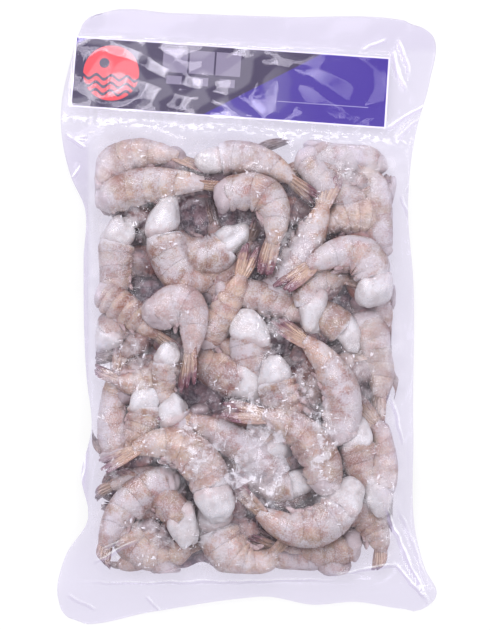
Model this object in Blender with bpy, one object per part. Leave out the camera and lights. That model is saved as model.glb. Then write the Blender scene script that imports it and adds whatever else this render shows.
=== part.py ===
"""Flat pack of frozen raw prawns: a clear film bag lying on its back, with a printed card in its header.

Metres, +Z up. +Y runs from the bottom seal to the header, and the shown side faces up.
The origin is at the middle of the bag's footprint, on the plane that it lies on.
The bag with the prawns pressed into it is one closed solid, and the header card is another.
"""

from collections import namedtuple

import bpy
import numpy as np

MM = 0.001

# Outline of the bag in millimetres, seen from above: each side is a smooth curve through its few points.
LEFT_SIDE = [(-121.5, -201), (-125.5, -181), (-120, -158), (-105, -133), (-109.5, -105), (-102.5, -73),
             (-106, -40), (-108, 38), (-107.5, 73), (-116, 92), (-123, 129), (-114, 179), (-107, 201)]
RIGHT_SIDE = [(119.5, -195), (125.5, -183), (118, -167), (113, -150), (110, -75), (110, 23),
              (106.5, 76), (112, 124), (121, 156), (124, 185), (118, 194)]
BOTTOM_SIDE = [(-121.5, -201), (-112, -203), (-64, -195.5), (-6, -186.5), (12, -185), (44, -190.5),
               (72, -188.5), (100, -193), (119.5, -195)]
TOP_SIDE = [(-107, 201), (-100, 203), (-57, 201.5), (22, 199), (102, 197), (118, 194)]

# The space that the prawns fill, inside the flat film margins.
FILL_LEFT, FILL_RIGHT, FILL_BOTTOM = -105, 105, -180
FILL_CORNER = 24
SHOULDER_ROUND = 15
SHOULDER_HIGH = 36
UNDERSIDE_ROUND = 18

# Flat margins, where the two films lie on each other.
MARGIN_THICK = 1.0
SIDE_FIN_HEIGHT = 8.0
HEADER_HIGH, HEADER_LOW = 11.0, 2.4
HEADER_DROP = 62
SEAL_HIGH, SEAL_LOW = 8.0, 2.4
SEAL_DROP = 22
WAVE_HEIGHT = 0.8
WAVE_LENGTH = 120

# Header card.
CARD_WIDTH, CARD_DEPTH, CARD_THICK = 209, 47.5, 0.5
CARD_CENTRE = (-11, 155)
CARD_TURN = -3.98
CARD_GAP = 0.45
CARD_TO_FILL = 8

# A prawn: half its depth at full size, and how that depth changes from the cut end to the tail fan.
HALF_DEPTH = 12.2
ALONG = [0, 0.05, 0.10, 0.20, 0.38, 0.55, 0.68, 0.78, 0.82, 0.90, 0.96, 1]
GIRTH = [0.35, 0.62, 0.80, 1, 1, 0.86, 0.66, 0.50, 0.42, 0.36, 0.26, 0.12]
STEPS_ALONG = 36

# How far the film settles into the hollows between the prawns.
SETTLE_ROUNDS = 14

# Cells of the upper skin: film margins and the filled part. The underside has half as many each way.
SIDE_CELLS, FILL_CELLS_ACROSS = 2, 44
SEAL_CELLS, FILL_CELLS_ALONG, HEADER_CELLS = 4, 60, 12
SIDE_SHARES = (0.04, 0.96, 1)
END_SHARES = (0.05, 0.80, 1)
CORNER_ROUND = 9
LEAST_MARGIN = 2.5

Prawn = namedtuple("Prawn", "head bend tail heights size")

# The prawns that lie on top, each as a bow from its cut end over its bend to its tail, in millimetres.
TOP_PRAWNS = [
    Prawn((-101, 78), (-87, 125), (-21, 96), (18, 14), 1.0),
    Prawn((-29, 101), (10, 114), (43, 77), (20, 18), 0.95),
    Prawn((-56, 75), (-57, 17), (-5, 39), (26, 16), 1.1),
    Prawn((-98, 17), (-77, 4), (-47, -23), (21, 18), 0.9),
    Prawn((46, -2), (26, 36), (89, 21), (23, 14), 0.95),
    Prawn((-98, 74), (-64, 95), (-6, 83), (23, 27), 1.0),
    Prawn((-22, 77), (39, 99), (8, 20), (26, 28), 1.05),
    Prawn((85, 10), (85, 70), (15, 15), (23, 29), 1.1),
    Prawn((-30, -19), (-11, 6), (2, 41), (16, 28), 0.85),
    Prawn((-50, -22), (-63, -50), (-43, -75), (26, 12), 0.7),
    Prawn((-64, -4), (-22, 36), (-43, -56), (27, 29), 1.1),
    Prawn((57, -82), (79, -39), (15, 0), (25, 29), 1.05),
    Prawn((17, -33), (22, -62), (50, -87), (27, 10), 1.15),
    Prawn((51, -116), (53, -66), (-14, -61), (27, 28), 1.1),
    Prawn((-39, -141), (-51, -116), (-79, -107), (24, 16), 0.9),
    Prawn((-46, -108), (-89, -113), (-99, -173), (18, 20), 1.0),
    Prawn((-19, -133), (-28, -55), (-101, -101), (28, 23), 1.15),
    Prawn((71, -109), (42, -170), (-13, -108), (27, 23), 1.1),
    Prawn((85, -122), (106, -89), (73, -58), (20, 17), 1.05),
    Prawn((-26, -121), (-7, -194), (35, -140), (16, 12), 1.2),
]

# The layer under them: bowed prawns in staggered rows, turned by chance.
BED_ACROSS, BED_ALONG = 5, 8
BED_REACH = 32
BED_BOW = 16
BED_HEIGHT = 12
BED_SIZE = 0.9
BED_SEED = 7


def smooth_curve(points, at):
    """Points at the shares `at` of a curve through `points`, by cubic pieces with averaged slopes."""
    points = np.array(points, float)
    span = np.hypot(*np.diff(points, axis=0).T)
    knots = np.concatenate([[0], np.cumsum(span)])
    slopes = np.gradient(points, knots, axis=0)
    place = np.clip(at, 0, 1) * knots[-1]
    piece = np.clip(np.searchsorted(knots, place, side="right") - 1, 0, len(span) - 1)
    step = span[piece]
    t = (place - knots[piece]) / step
    rise = t * t * (3 - 2 * t)
    leave = t * (1 - t) ** 2 * step
    arrive = -t * t * (1 - t) * step
    start, end = points[piece], points[piece + 1]
    return (start * (1 - rise)[:, None] + end * rise[:, None]
            + slopes[piece] * leave[:, None] + slopes[piece + 1] * arrive[:, None])


def ease(low, high, value):
    """0 below `low`, 1 above `high`, and an even S between them."""
    t = np.clip((value - low) / (high - low), 0, 1)
    return t * t * (3 - 2 * t)


def shares(counts, ends):
    """Grid lines from 0 to 1: `counts` cells up to each of the shares `ends`."""
    lines = [np.array([0.0])]
    for count, end in zip(counts, ends):
        lines.append(np.linspace(lines[-1][-1], end, count + 1)[1:])
    return np.concatenate(lines)


def side_at(points, value, axis):
    """Where a side of the outline lies at each value of the other coordinate; `axis` is that coordinate's."""
    curve = smooth_curve(points, np.linspace(0, 1, 400))
    return np.interp(value, curve[:, axis], curve[:, 1 - axis])


def corner_cut(distance):
    """How far a rounded corner draws the side in, at each distance from the end of the side."""
    return CORNER_ROUND * (1 - np.sqrt(1 - (1 - np.clip(distance / CORNER_ROUND, 0, 1)) ** 2))


def banded(share, ends, stops):
    """Go from stop to stop in even steps, reaching the next one at each of the shares `ends`."""
    value = np.broadcast_to(stops[0], share.shape)
    for start, end, low, high in zip((0, *ends), ends, stops, stops[1:]):
        value = np.where(share > start, low + (high - low) * (share - start) / (end - start), value)
    return value


def outline_patch(across, along):
    """Place every grid point inside the outline, with straight rows of points round the filled part."""
    u, v = np.meshgrid(across, along)
    rough_x = banded(u, SIDE_SHARES, (LEFT_SIDE[0][0], FILL_LEFT, FILL_RIGHT, RIGHT_SIDE[0][0]))
    low_end = side_at(BOTTOM_SIDE, rough_x, 0)
    high_end = side_at(TOP_SIDE, rough_x, 0)
    y = banded(v, END_SHARES, (low_end, FILL_BOTTOM, card_edge(rough_x) - CARD_TO_FILL, high_end))
    cut = corner_cut(np.minimum(y - low_end, high_end - y))
    left = side_at(LEFT_SIDE, y, 1) + cut
    right = side_at(RIGHT_SIDE, y, 1) - cut
    inner_left = np.maximum(FILL_LEFT, left + LEAST_MARGIN)
    inner_right = np.minimum(FILL_RIGHT, right - LEAST_MARGIN)
    return banded(u, SIDE_SHARES, (left, inner_left, inner_right, right)), y


def card_edge(x):
    """The y of the card's lower edge at each x."""
    turn = np.radians(CARD_TURN)
    return CARD_CENTRE[1] - CARD_DEPTH / 2 / np.cos(turn) + (x - CARD_CENTRE[0]) * np.tan(turn)


def depth_inside(x, y):
    """How far a point lies inside the rounded space that the prawns fill; negative outside it."""
    upper = card_edge(x) - CARD_TO_FILL
    from_side = np.minimum(x - FILL_LEFT, FILL_RIGHT - x)
    from_end = np.minimum(y - FILL_BOTTOM, upper - y)
    short_x = np.maximum(FILL_CORNER - from_side, 0)
    short_y = np.maximum(FILL_CORNER - from_end, 0)
    return np.where((short_x > 0) & (short_y > 0), FILL_CORNER - np.hypot(short_x, short_y),
                    np.minimum(from_side, from_end))


def margin_height(x, y):
    """Height of the middle of the flat margins: fins at the sides, falling to the table at both ends."""
    header = HEADER_HIGH + (HEADER_LOW - HEADER_HIGH) * ease(0, HEADER_DROP, y - card_edge(x) + CARD_TO_FILL)
    seal = SEAL_HIGH + (SEAL_LOW - SEAL_HIGH) * ease(0, SEAL_DROP, FILL_BOTTOM + 4 - y)
    side = SIDE_FIN_HEIGHT
    height = np.where(y < 0, np.minimum(side, seal), side + (header - side) * ease(90, 130, y))
    wave = np.sin(2 * np.pi * x / WAVE_LENGTH + 0.9) * np.cos(2 * np.pi * y / WAVE_LENGTH)
    return height + WAVE_HEIGHT * wave * ease(60, 150, np.abs(y))


def prawn_balls(prawn):
    """A row of balls that follows one prawn: its bow is a quadratic curve, and its girth tapers."""
    t = np.linspace(0, 1, STEPS_ALONG)
    weights = np.stack([(1 - t) ** 2, 2 * t * (1 - t), t * t])
    place = weights.T @ np.array([prawn.head, prawn.bend, prawn.tail], float)
    radius = HALF_DEPTH * prawn.size * np.interp(t, ALONG, GIRTH)
    height = prawn.heights[0] + (prawn.heights[1] - prawn.heights[0]) * t
    return place, radius, height


def bed_prawns():
    """The hidden lower layer, row by row."""
    chance = np.random.default_rng(BED_SEED)
    rows = np.linspace(FILL_BOTTOM + 22, 96, BED_ALONG)
    columns = np.linspace(FILL_LEFT + 24, FILL_RIGHT - 24, BED_ACROSS)
    for row, y in enumerate(rows):
        for x in columns + (6 if row % 2 else -6):
            turn = chance.uniform(0, 2 * np.pi)
            reach = np.array([np.cos(turn), np.sin(turn)]) * BED_REACH / 2
            bow = np.array([-np.sin(turn), np.cos(turn)]) * BED_BOW
            centre = np.array([x, y])
            yield Prawn(centre - reach, centre + bow, centre + reach, (BED_HEIGHT, BED_HEIGHT), BED_SIZE)


def contents_height(x, y):
    """Height of the heap of prawns at each point, and 0 where there is none."""
    height = np.zeros_like(x)
    for prawn in [*bed_prawns(), *TOP_PRAWNS]:
        for (px, py), radius, level in zip(*prawn_balls(prawn)):
            rise = radius ** 2 - (x - px) ** 2 - (y - py) ** 2
            height = np.maximum(height, np.where(rise > 0, level + np.sqrt(np.maximum(rise, 0)), 0))
    return height


def film_over(x, y):
    """Height of the upper film: it bridges the prawns, sinks a little between them, and rounds off to the
    margins over a shoulder."""
    flat = margin_height(x, y) + MARGIN_THICK / 2
    depth = depth_inside(x, y)
    inside = depth > 0
    shoulder = np.sqrt(1 - (1 - np.clip(depth / SHOULDER_ROUND, 0, 1)) ** 2)
    heap = np.minimum(contents_height(x, y), flat + SHOULDER_HIGH * shoulder)
    film = np.maximum(heap, flat)
    for _ in range(SETTLE_ROUNDS):
        mean = film.copy()
        mean[1:-1, 1:-1] = (film[:-2, 1:-1] + film[2:, 1:-1] + film[1:-1, :-2] + film[1:-1, 2:]) / 4
        film = np.where(inside, np.maximum(mean, heap), flat)
    return np.maximum(film, flat)


def film_under(x, y):
    """Height of the lower film: flat on the table under the prawns, and rising to the margins round them."""
    flat = margin_height(x, y) - MARGIN_THICK / 2
    return flat * (1 - ease(0, UNDERSIDE_ROUND, depth_inside(x, y)))


def grid_triangles(rows, columns, first):
    """Triangles of a grid of cells whose points are numbered from `first`, facing up."""
    number = first + np.arange((rows + 1) * (columns + 1)).reshape(rows + 1, columns + 1)
    a, b = number[:-1, :-1].ravel(), number[:-1, 1:].ravel()
    c, d = number[1:, 1:].ravel(), number[1:, :-1].ravel()
    return np.concatenate([np.stack([a, b, c], 1), np.stack([a, c, d], 1)])


def border(rows, columns, first):
    """The numbers of a grid's border points, once round anticlockwise as seen from above."""
    number = first + np.arange((rows + 1) * (columns + 1)).reshape(rows + 1, columns + 1)
    return np.concatenate([number[0, :-1], number[:-1, -1], number[-1, :0:-1], number[:0:-1, 0]])


def shell_mesh(name, upper, lower):
    """Close an upper and a lower grid with a rim. The lower may have half as many cells each way."""
    points, faces, rings = [], [], []
    first = 0
    for grid, flip in ((upper, False), (lower, True)):
        rows, columns = grid.shape[0] - 1, grid.shape[1] - 1
        cells = grid_triangles(rows, columns, first)
        faces.append(cells[:, ::-1] if flip else cells)
        rings.append(border(rows, columns, first))
        points.append(grid.reshape(-1, 3))
        first += len(points[-1])
    high, low = rings
    ratio = len(high) // len(low)
    low_next = np.roll(low, -1)
    start = high[::ratio]
    middle = np.roll(high, -1)[::ratio]
    faces.append(np.stack([low, low_next, middle], 1))
    faces.append(np.stack([low, middle, start], 1))
    if ratio > 1:
        end = np.roll(high, -ratio)[::ratio]
        faces.append(np.stack([low_next, end, middle], 1))
    mesh = bpy.data.meshes.new(name)
    mesh.from_pydata((np.concatenate(points) * MM).tolist(), [], np.concatenate(faces).tolist())
    mesh.update()
    return mesh


def finish_material(name, colour, roughness):
    """A plain surface with the piece's colour and gloss."""
    material = bpy.data.materials.new(name)
    material.use_nodes = True
    shader = material.node_tree.nodes["Principled BSDF"]
    shader.inputs["Base Color"].default_value = (*colour, 1)
    shader.inputs["Roughness"].default_value = roughness
    shader.inputs["Metallic"].default_value = 0.0
    return material


def add_piece(name, mesh, material):
    """Put a finished mesh into the scene as a named piece."""
    mesh.materials.append(material)
    mesh.shade_smooth()
    piece = bpy.data.objects.new(name, mesh)
    bpy.context.scene.collection.objects.link(piece)
    return piece


def make_bag():
    """The filled bag: both films, the prawns' relief, the side fins, the bottom seal and the header."""
    across = shares((SIDE_CELLS, FILL_CELLS_ACROSS, SIDE_CELLS), SIDE_SHARES)
    along = shares((SEAL_CELLS, FILL_CELLS_ALONG, HEADER_CELLS), END_SHARES)
    x, y = outline_patch(across, along)
    x -= (x.min() + x.max()) / 2
    y -= (y.min() + y.max()) / 2
    upper = np.stack([x, y, film_over(x, y)], -1)
    low_x, low_y = x[::2, ::2], y[::2, ::2]
    lower = np.stack([low_x, low_y, film_under(low_x, low_y)], -1)
    film = finish_material("clear_film", (0.62, 0.56, 0.58), 0.22)
    return add_piece("bag", shell_mesh("bag", upper, lower), film)


def make_card():
    """The printed card in the header: a thin sheet that follows the header's slope and waves."""
    turn = np.radians(CARD_TURN)
    long_way, short_way = np.meshgrid(np.linspace(-0.5, 0.5, 25) * CARD_WIDTH,
                                      np.linspace(-0.5, 0.5, 9) * CARD_DEPTH)
    x = CARD_CENTRE[0] + long_way * np.cos(turn) - short_way * np.sin(turn)
    y = CARD_CENTRE[1] + long_way * np.sin(turn) + short_way * np.cos(turn)
    z = margin_height(x, y) + MARGIN_THICK / 2 + CARD_GAP
    upper = np.stack([x, y, z + CARD_THICK], -1)
    lower = np.stack([x, y, z], -1)
    print_finish = finish_material("printed_card", (0.10, 0.07, 0.22), 0.35)
    return add_piece("header_card", shell_mesh("header_card", upper, lower), print_finish)


def main():
    """Clear the scene and make both pieces."""
    for old in list(bpy.data.objects):
        bpy.data.objects.remove(old)
    make_bag()
    make_card()


main()
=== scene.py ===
"""Looks of a flat pack of frozen raw prawns: the clear film, the printed card and the prawns inside.

Lengths are in millimetres until a mesh is written. +Z is up, +Y runs from the bottom seal to the header.
"""

import logging
import math
from dataclasses import dataclass, field
from enum import Enum

import bpy
import numpy as np
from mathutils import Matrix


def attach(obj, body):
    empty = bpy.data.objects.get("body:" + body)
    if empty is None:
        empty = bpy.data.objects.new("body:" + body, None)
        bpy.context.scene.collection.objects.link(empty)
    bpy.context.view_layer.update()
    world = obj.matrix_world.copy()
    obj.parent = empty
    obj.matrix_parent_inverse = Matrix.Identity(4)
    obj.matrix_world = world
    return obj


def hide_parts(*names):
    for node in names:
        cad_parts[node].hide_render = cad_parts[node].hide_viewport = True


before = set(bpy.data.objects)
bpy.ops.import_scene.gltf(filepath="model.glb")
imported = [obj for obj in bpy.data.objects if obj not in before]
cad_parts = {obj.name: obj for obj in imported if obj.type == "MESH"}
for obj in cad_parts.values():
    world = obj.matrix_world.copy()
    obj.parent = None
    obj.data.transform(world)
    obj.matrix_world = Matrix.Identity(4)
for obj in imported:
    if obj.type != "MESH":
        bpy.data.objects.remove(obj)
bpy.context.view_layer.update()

MM = 0.001
TAU = 2 * math.pi
UP = np.array([0.0, 0.0, 1.0])
log = logging.getLogger("pack")


@dataclass
class Patch:
    """One surface: its points, its four-sided and three-sided cells, and named numbers at its points."""

    points: np.ndarray
    quads: np.ndarray
    fans: np.ndarray
    traits: dict[str, np.ndarray] = field(default_factory=dict)

    @staticmethod
    def tube(rings: np.ndarray, traits: dict[str, np.ndarray]) -> "Patch":
        """Close a row of rings into a tube with a point at each end.

        Args:
            rings: points as (rows, round, 3); each row is one ring.
            traits: numbers as (rows, round) for each name.

        Returns:
            The closed tube, with its faces outwards. The end points are the means of the end rings.
        """
        rows, columns = rings.shape[:2]
        number = np.arange(rows * columns).reshape(rows, columns)
        after = np.roll(number, -1, axis=1)
        quads = np.stack([number[:-1], after[:-1], after[1:], number[1:]], -1).reshape(-1, 4)
        start, end = rows * columns, rows * columns + 1
        first = np.stack([np.full(columns, start), after[0], number[0]], -1)
        last = np.stack([np.full(columns, end), number[-1], after[-1]], -1)
        points = np.concatenate([rings.reshape(-1, 3), [rings[0].mean(0), rings[-1].mean(0)]])
        numbers = {name: np.concatenate([grid.ravel(), [grid[0].mean(), grid[-1].mean()]])
                   for name, grid in traits.items()}
        return Patch(points, quads, np.concatenate([first, last]), numbers).outward()

    @staticmethod
    def join(patches: list["Patch"]) -> "Patch":
        """Put several surfaces into one.

        Args:
            patches: the surfaces, in the order of their points.

        Returns:
            One surface; a number that one of them lacks is 0 there.
        """
        starts = np.cumsum([0] + [len(patch.points) for patch in patches])
        names = sorted({name for patch in patches for name in patch.traits})
        return Patch(
            np.concatenate([patch.points for patch in patches]),
            np.concatenate([patch.quads + start for patch, start in zip(patches, starts)]),
            np.concatenate([patch.fans + start for patch, start in zip(patches, starts)]),
            {name: np.concatenate([patch.traits.get(name, np.zeros(len(patch.points)))
                                   for patch in patches]) for name in names})

    def outward(self) -> "Patch":
        """Turn every face round if the closed surface holds a negative volume.

        Returns:
            The surface with its faces outwards.
        """
        a, b, c, d = (self.points[self.quads[:, k]] for k in range(4))
        e, f, g = (self.points[self.fans[:, k]] for k in range(3))
        volume = (np.einsum("ij,ij->", a, np.cross(b, c)) + np.einsum("ij,ij->", a, np.cross(c, d))
                  + np.einsum("ij,ij->", e, np.cross(f, g)))
        if volume < 0:
            return Patch(self.points, self.quads[:, ::-1], self.fans[:, ::-1], self.traits)
        return self

    def build(self, name: str, material: bpy.types.Material, slot: str) -> bpy.types.Object:
        """Write the surface into a mesh in metres and make it ride on the pack.

        Args:
            name: the piece's name.
            material: its finish.
            slot: not used.

        Returns:
            The new object, at the origin and unturned.
        """
        mesh = bpy.data.meshes.new(name)
        corners = np.concatenate([self.quads.ravel(), self.fans.ravel()])
        sizes = np.concatenate([np.full(len(self.quads), 4), np.full(len(self.fans), 3)])
        mesh.vertices.add(len(self.points))
        mesh.loops.add(len(corners))
        mesh.polygons.add(len(sizes))
        mesh.vertices.foreach_set("co", (self.points * MM).astype(np.float32).ravel())
        mesh.loops.foreach_set("vertex_index", corners.astype(np.int32))
        mesh.polygons.foreach_set("loop_start", (np.cumsum(sizes) - sizes).astype(np.int32))
        mesh.update(calc_edges=True)
        mesh.validate()
        mesh.shade_smooth()
        for trait, numbers in self.traits.items():
            layer = mesh.attributes.new(trait, "FLOAT", "POINT")
            layer.data.foreach_set("value", numbers.astype(np.float32))
        mesh.materials.append(material)
        piece = bpy.data.objects.new(name, mesh)
        bpy.context.scene.collection.objects.link(piece)
        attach(piece, "root")
        log.info("%s: %d points, %d faces", name, len(self.points), len(sizes))
        return piece


def ease(low: float, high: float, value: np.ndarray) -> np.ndarray:
    """An even S between two values: t squared times 3 less 2t, where t is the share of the way.

    Args:
        low: where the result is still 0; it may be the larger one.
        high: from where it is 1.
        value: the numbers to ease.

    Returns:
        A share between 0 and 1 for each number.
    """
    t = np.clip((value - low) / (high - low), 0, 1)
    return t * t * (3 - 2 * t)


def bell(value: np.ndarray, middle: float, reach: float) -> np.ndarray:
    """1 at `middle`, less on both sides: e to the minus square of the distance counted in reaches."""
    return np.exp(-((value - middle) / reach) ** 2)


def flat(x: np.ndarray, y: np.ndarray) -> np.ndarray:
    """Places in the plane, as (..., 2)."""
    return np.stack([x, y], -1)


def space(x: np.ndarray, y: np.ndarray, z: np.ndarray) -> np.ndarray:
    """Places in space, as (..., 3)."""
    return np.stack([x, y, z], -1)


def around(rounds: int) -> np.ndarray:
    """Even angles round a section, as one row."""
    return np.linspace(0, TAU, rounds, endpoint=False)[None]


def ripple(points: np.ndarray, length: float, seed: int, waves: int = 7) -> np.ndarray:
    """Smooth random relief between about -1 and 1.

    The sum of a few sine waves of like length, each in its own random direction and phase.

    Args:
        points: places as (..., 2) or (..., 3).
        length: the usual wavelength.
        seed: picks the directions.
        waves: how many sines are added.

    Returns:
        One number for each place.
    """
    chance = np.random.default_rng(seed)
    ways = chance.normal(size=(waves, points.shape[-1]))
    ways *= (TAU / length / np.linalg.norm(ways, axis=1) * chance.uniform(0.7, 1.4, waves))[:, None]
    phase = chance.uniform(0, TAU, waves)
    return np.sin(points @ ways.T + phase).sum(-1) / math.sqrt(waves) / 1.4


def crumple(places: np.ndarray, length: float, seed: int, folds: int = 4) -> np.ndarray:
    """Relief of crumpled film between -1 and 1: even facets that meet in sharp ridges.

    The mean of a few triangle waves, each in its own direction and with a wandering phase.

    Args:
        places: places as (..., 2).
        length: the usual distance between two ridges.
        seed: picks directions and phases.
        folds: how many waves are added.

    Returns:
        One number for each place.
    """
    chance = np.random.default_rng(seed)
    total = np.zeros(places.shape[:-1])
    for fold in range(folds):
        turn = chance.uniform(0, TAU)
        phase = places @ np.array([math.cos(turn), math.sin(turn)]) / (length * chance.uniform(0.7, 1.7))
        phase = phase + 0.30 * ripple(places, 3.2 * length, seed + 10 + fold) + chance.uniform()
        total += np.abs(phase % 1 - 0.5) * 4 - 1
    return total / folds


class Val:
    """A number in a material: a socket, or a plain number, with arithmetic that adds Math nodes."""

    def __init__(self, sheet: "Finish", source: bpy.types.NodeSocket) -> None:
        """Wrap one output socket of `sheet`."""
        self.sheet = sheet
        self.source = source

    def math(self, operation: str, *others: "Val | float", swap: bool = False) -> "Val":
        """Add one Math node.

        Args:
            operation: what it works out.
            others: its further inputs, after this number.
            swap: puts this number last instead of first.

        Returns:
            The result.
        """
        values = [self, *others]
        if swap:
            values.reverse()
        return self.sheet.node("ShaderNodeMath", {"operation": operation}, dict(enumerate(values)))

    def __add__(self, other: "Val | float") -> "Val":
        """The sum."""
        return self.math("ADD", other)

    __radd__ = __add__

    def __mul__(self, other: "Val | float") -> "Val":
        """The product."""
        return self.math("MULTIPLY", other)

    __rmul__ = __mul__

    def __sub__(self, other: "Val | float") -> "Val":
        """The difference."""
        return self.math("SUBTRACT", other)

    def __rsub__(self, other: float) -> "Val":
        """A plain number less this one."""
        return self.math("SUBTRACT", other, swap=True)

    def __truediv__(self, other: "Val | float") -> "Val":
        """The quotient."""
        return self.math("DIVIDE", other)

    def __pow__(self, other: float) -> "Val":
        """A power."""
        return self.math("POWER", other)

    def size(self) -> "Val":
        """The number without its sign."""
        return self.math("ABSOLUTE")

    def least(self, other: "Val | float") -> "Val":
        """The smaller of two numbers."""
        return self.math("MINIMUM", other)

    def ease(self, low: float, high: float) -> "Val":
        """An even S between two values.

        Args:
            low: where the result is still 0; it may be the larger one.
            high: from where it is 1.

        Returns:
            The share between 0 and 1.
        """
        settings = {"interpolation_type": "SMOOTHSTEP"}
        if low <= high:
            return self.sheet.node("ShaderNodeMapRange", settings,
                                   {"Value": self, "From Min": low, "From Max": high})
        return 1 - self.ease(high, low)


Colour = tuple[float, float, float]


def linear(red: float, green: float, blue: float) -> Colour:
    """A colour as the eye names it, each part from 0 to 255, turned into the renderer's own scale."""
    parts = (part / 255 for part in (red, green, blue))
    return tuple(part / 12.92 if part <= 0.04045 else ((part + 0.055) / 1.055) ** 2.4 for part in parts)


class Finish:
    """One material, with short ways to add its nodes."""

    name = "finish"
    # Painted shade: between these shares of the deepest depth the colour turns towards its shade colour, up
    # to this share; hidden bed prawns count as deeper.
    buried_deeper = 0.24
    dark_from, dark_full, dark_share = 0.08, 0.80, 0.92
    frost_colour = (219, 215, 224)

    def __init__(self) -> None:
        """Make the empty material and draw its nodes."""
        self.material = bpy.data.materials.new(self.name)
        self.material.use_nodes = True
        self.tree = self.material.node_tree
        self.tree.nodes.clear()
        self.place = self.raw("ShaderNodeTexCoord").outputs["Object"]
        end = self.raw("ShaderNodeOutputMaterial")
        self.tree.links.new(self.draw(), end.inputs["Surface"])

    def draw(self) -> bpy.types.NodeSocket:
        """Draw the nodes and give the shader socket that covers the surface."""
        raise NotImplementedError

    def raw(self, kind: str, settings: dict | None = None, inputs: dict | None = None) -> bpy.types.Node:
        """Add one node.

        Args:
            kind: the node's type.
            settings: its own settings, set first.
            inputs: values or links for its sockets, by name or number.

        Returns:
            The node.
        """
        made = self.tree.nodes.new(kind)
        for key, value in (settings or {}).items():
            setattr(made, key, value)
        for key, value in (inputs or {}).items():
            socket = made.inputs[key]
            if isinstance(value, Val):
                self.tree.links.new(value.source, socket)
            elif isinstance(value, bpy.types.NodeSocket):
                self.tree.links.new(value, socket)
            elif isinstance(value, tuple) and socket.type == "RGBA":
                socket.default_value = (*value, 1)
            else:
                socket.default_value = value
        return made

    def node(self, kind: str, settings: dict | None = None, inputs: dict | None = None,
             output: int | str = 0) -> Val:
        """Add one node, as `raw` does, and wrap one of its outputs as a number."""
        return Val(self, self.raw(kind, settings, inputs).outputs[output])

    def trait(self, name: str) -> Val:
        """The piece's own number of that name."""
        return self.node("ShaderNodeAttribute", {"attribute_name": name}, output="Fac")

    def grain(self, size: float, detail: float = 3, shift: float = 0, stretch: Colour = (1, 1, 1)) -> Val:
        """Cloudy noise with spots about `size` millimetres wide, around 0.5.

        Args:
            size: width of the spots in millimetres.
            detail: how many finer layers are added.
            shift: picks another part of the noise.
            stretch: how close the spots lie along each axis; less than 1 draws them out.

        Returns:
            The noise.
        """
        where = self.raw("ShaderNodeMapping", {}, {"Vector": self.place, "Scale": stretch,
                                                   "Location": (shift, shift, shift)}).outputs[0]
        return self.node("ShaderNodeTexNoise", {}, {"Vector": where, "Scale": 1 / (size * MM),
                                                    "Detail": detail, "Roughness": 0.55}, "Fac")

    def mix(self, share: "Val | float", low: "Colour | bpy.types.NodeSocket",
            high: "Colour | bpy.types.NodeSocket") -> bpy.types.NodeSocket:
        """Blend two colours by a share between 0 and 1."""
        return self.raw("ShaderNodeMix", {"data_type": "RGBA"}, {0: share, 6: low, 7: high}).outputs[2]

    def layered(self, base: bpy.types.NodeSocket, *layers: "tuple[Val | float, Colour]"
                ) -> bpy.types.NodeSocket:
        """Lay colours over one another.

        Args:
            base: the lowest colour.
            layers: for each one from below, its share and its colour with parts from 0 to 255.

        Returns:
            The colour that shows.
        """
        for share, colour in layers:
            base = self.mix(share, base, linear(*colour))
        return base

    def clouds(self, size: float, detail: float, shift: float, low: float, high: float) -> Val:
        """Soft spots: the noise of that size, eased from 0 at `low` to 1 at `high`."""
        return self.grain(size, detail, shift).ease(low, high)

    def bump(self, height: Val, depth: float, below: "bpy.types.NodeSocket | None" = None
             ) -> bpy.types.NodeSocket:
        """Fine relief.

        Args:
            height: the relief, from 0 to 1.
            depth: how high it is in millimetres where `height` is 1.
            below: relief that it is laid over.

        Returns:
            The turned surface direction.
        """
        inputs = {"Height": height, "Distance": depth * MM, "Strength": 1.0}
        if below is not None:
            inputs["Normal"] = below
        return self.raw("ShaderNodeBump", {}, inputs).outputs[0]

    def settle(self, base: bpy.types.NodeSocket, dark: "Colour | bpy.types.NodeSocket"
               ) -> bpy.types.NodeSocket:
        """Paint shade on what lies deep under the film, in the gaps between the prawns, then veil with
        frost what lies near the walls.

        Args:
            base: the piece's colour in full light.
            dark: the painted shade colour at the bottom of the gaps.

        Returns:
            The colour where the piece lies.
        """
        deep = self.trait("deep") + self.trait("buried") * self.buried_deeper
        # painted shade: the deeper a point lies under the film, the more its colour goes to the shade
        # colour
        shaded = self.mix(deep.ease(self.dark_from, self.dark_full) * self.dark_share, base, dark)
        ragged = self.clouds(6, 4, 8.8, 0.30, 0.62)
        return self.layered(shaded, (self.trait("fade") * (0.50 + ragged * 0.50), self.frost_colour))

    def principled(self, base: bpy.types.NodeSocket, rough: "Val | float", relief: bpy.types.NodeSocket,
                   others: dict | None = None) -> bpy.types.NodeSocket:
        """The surface shader with its colour, roughness and relief, and other socket values by name."""
        inputs = {"Base Color": base, "Roughness": rough, "Normal": relief, **(others or {})}
        return self.raw("ShaderNodeBsdfPrincipled", {}, inputs).outputs[0]


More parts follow.
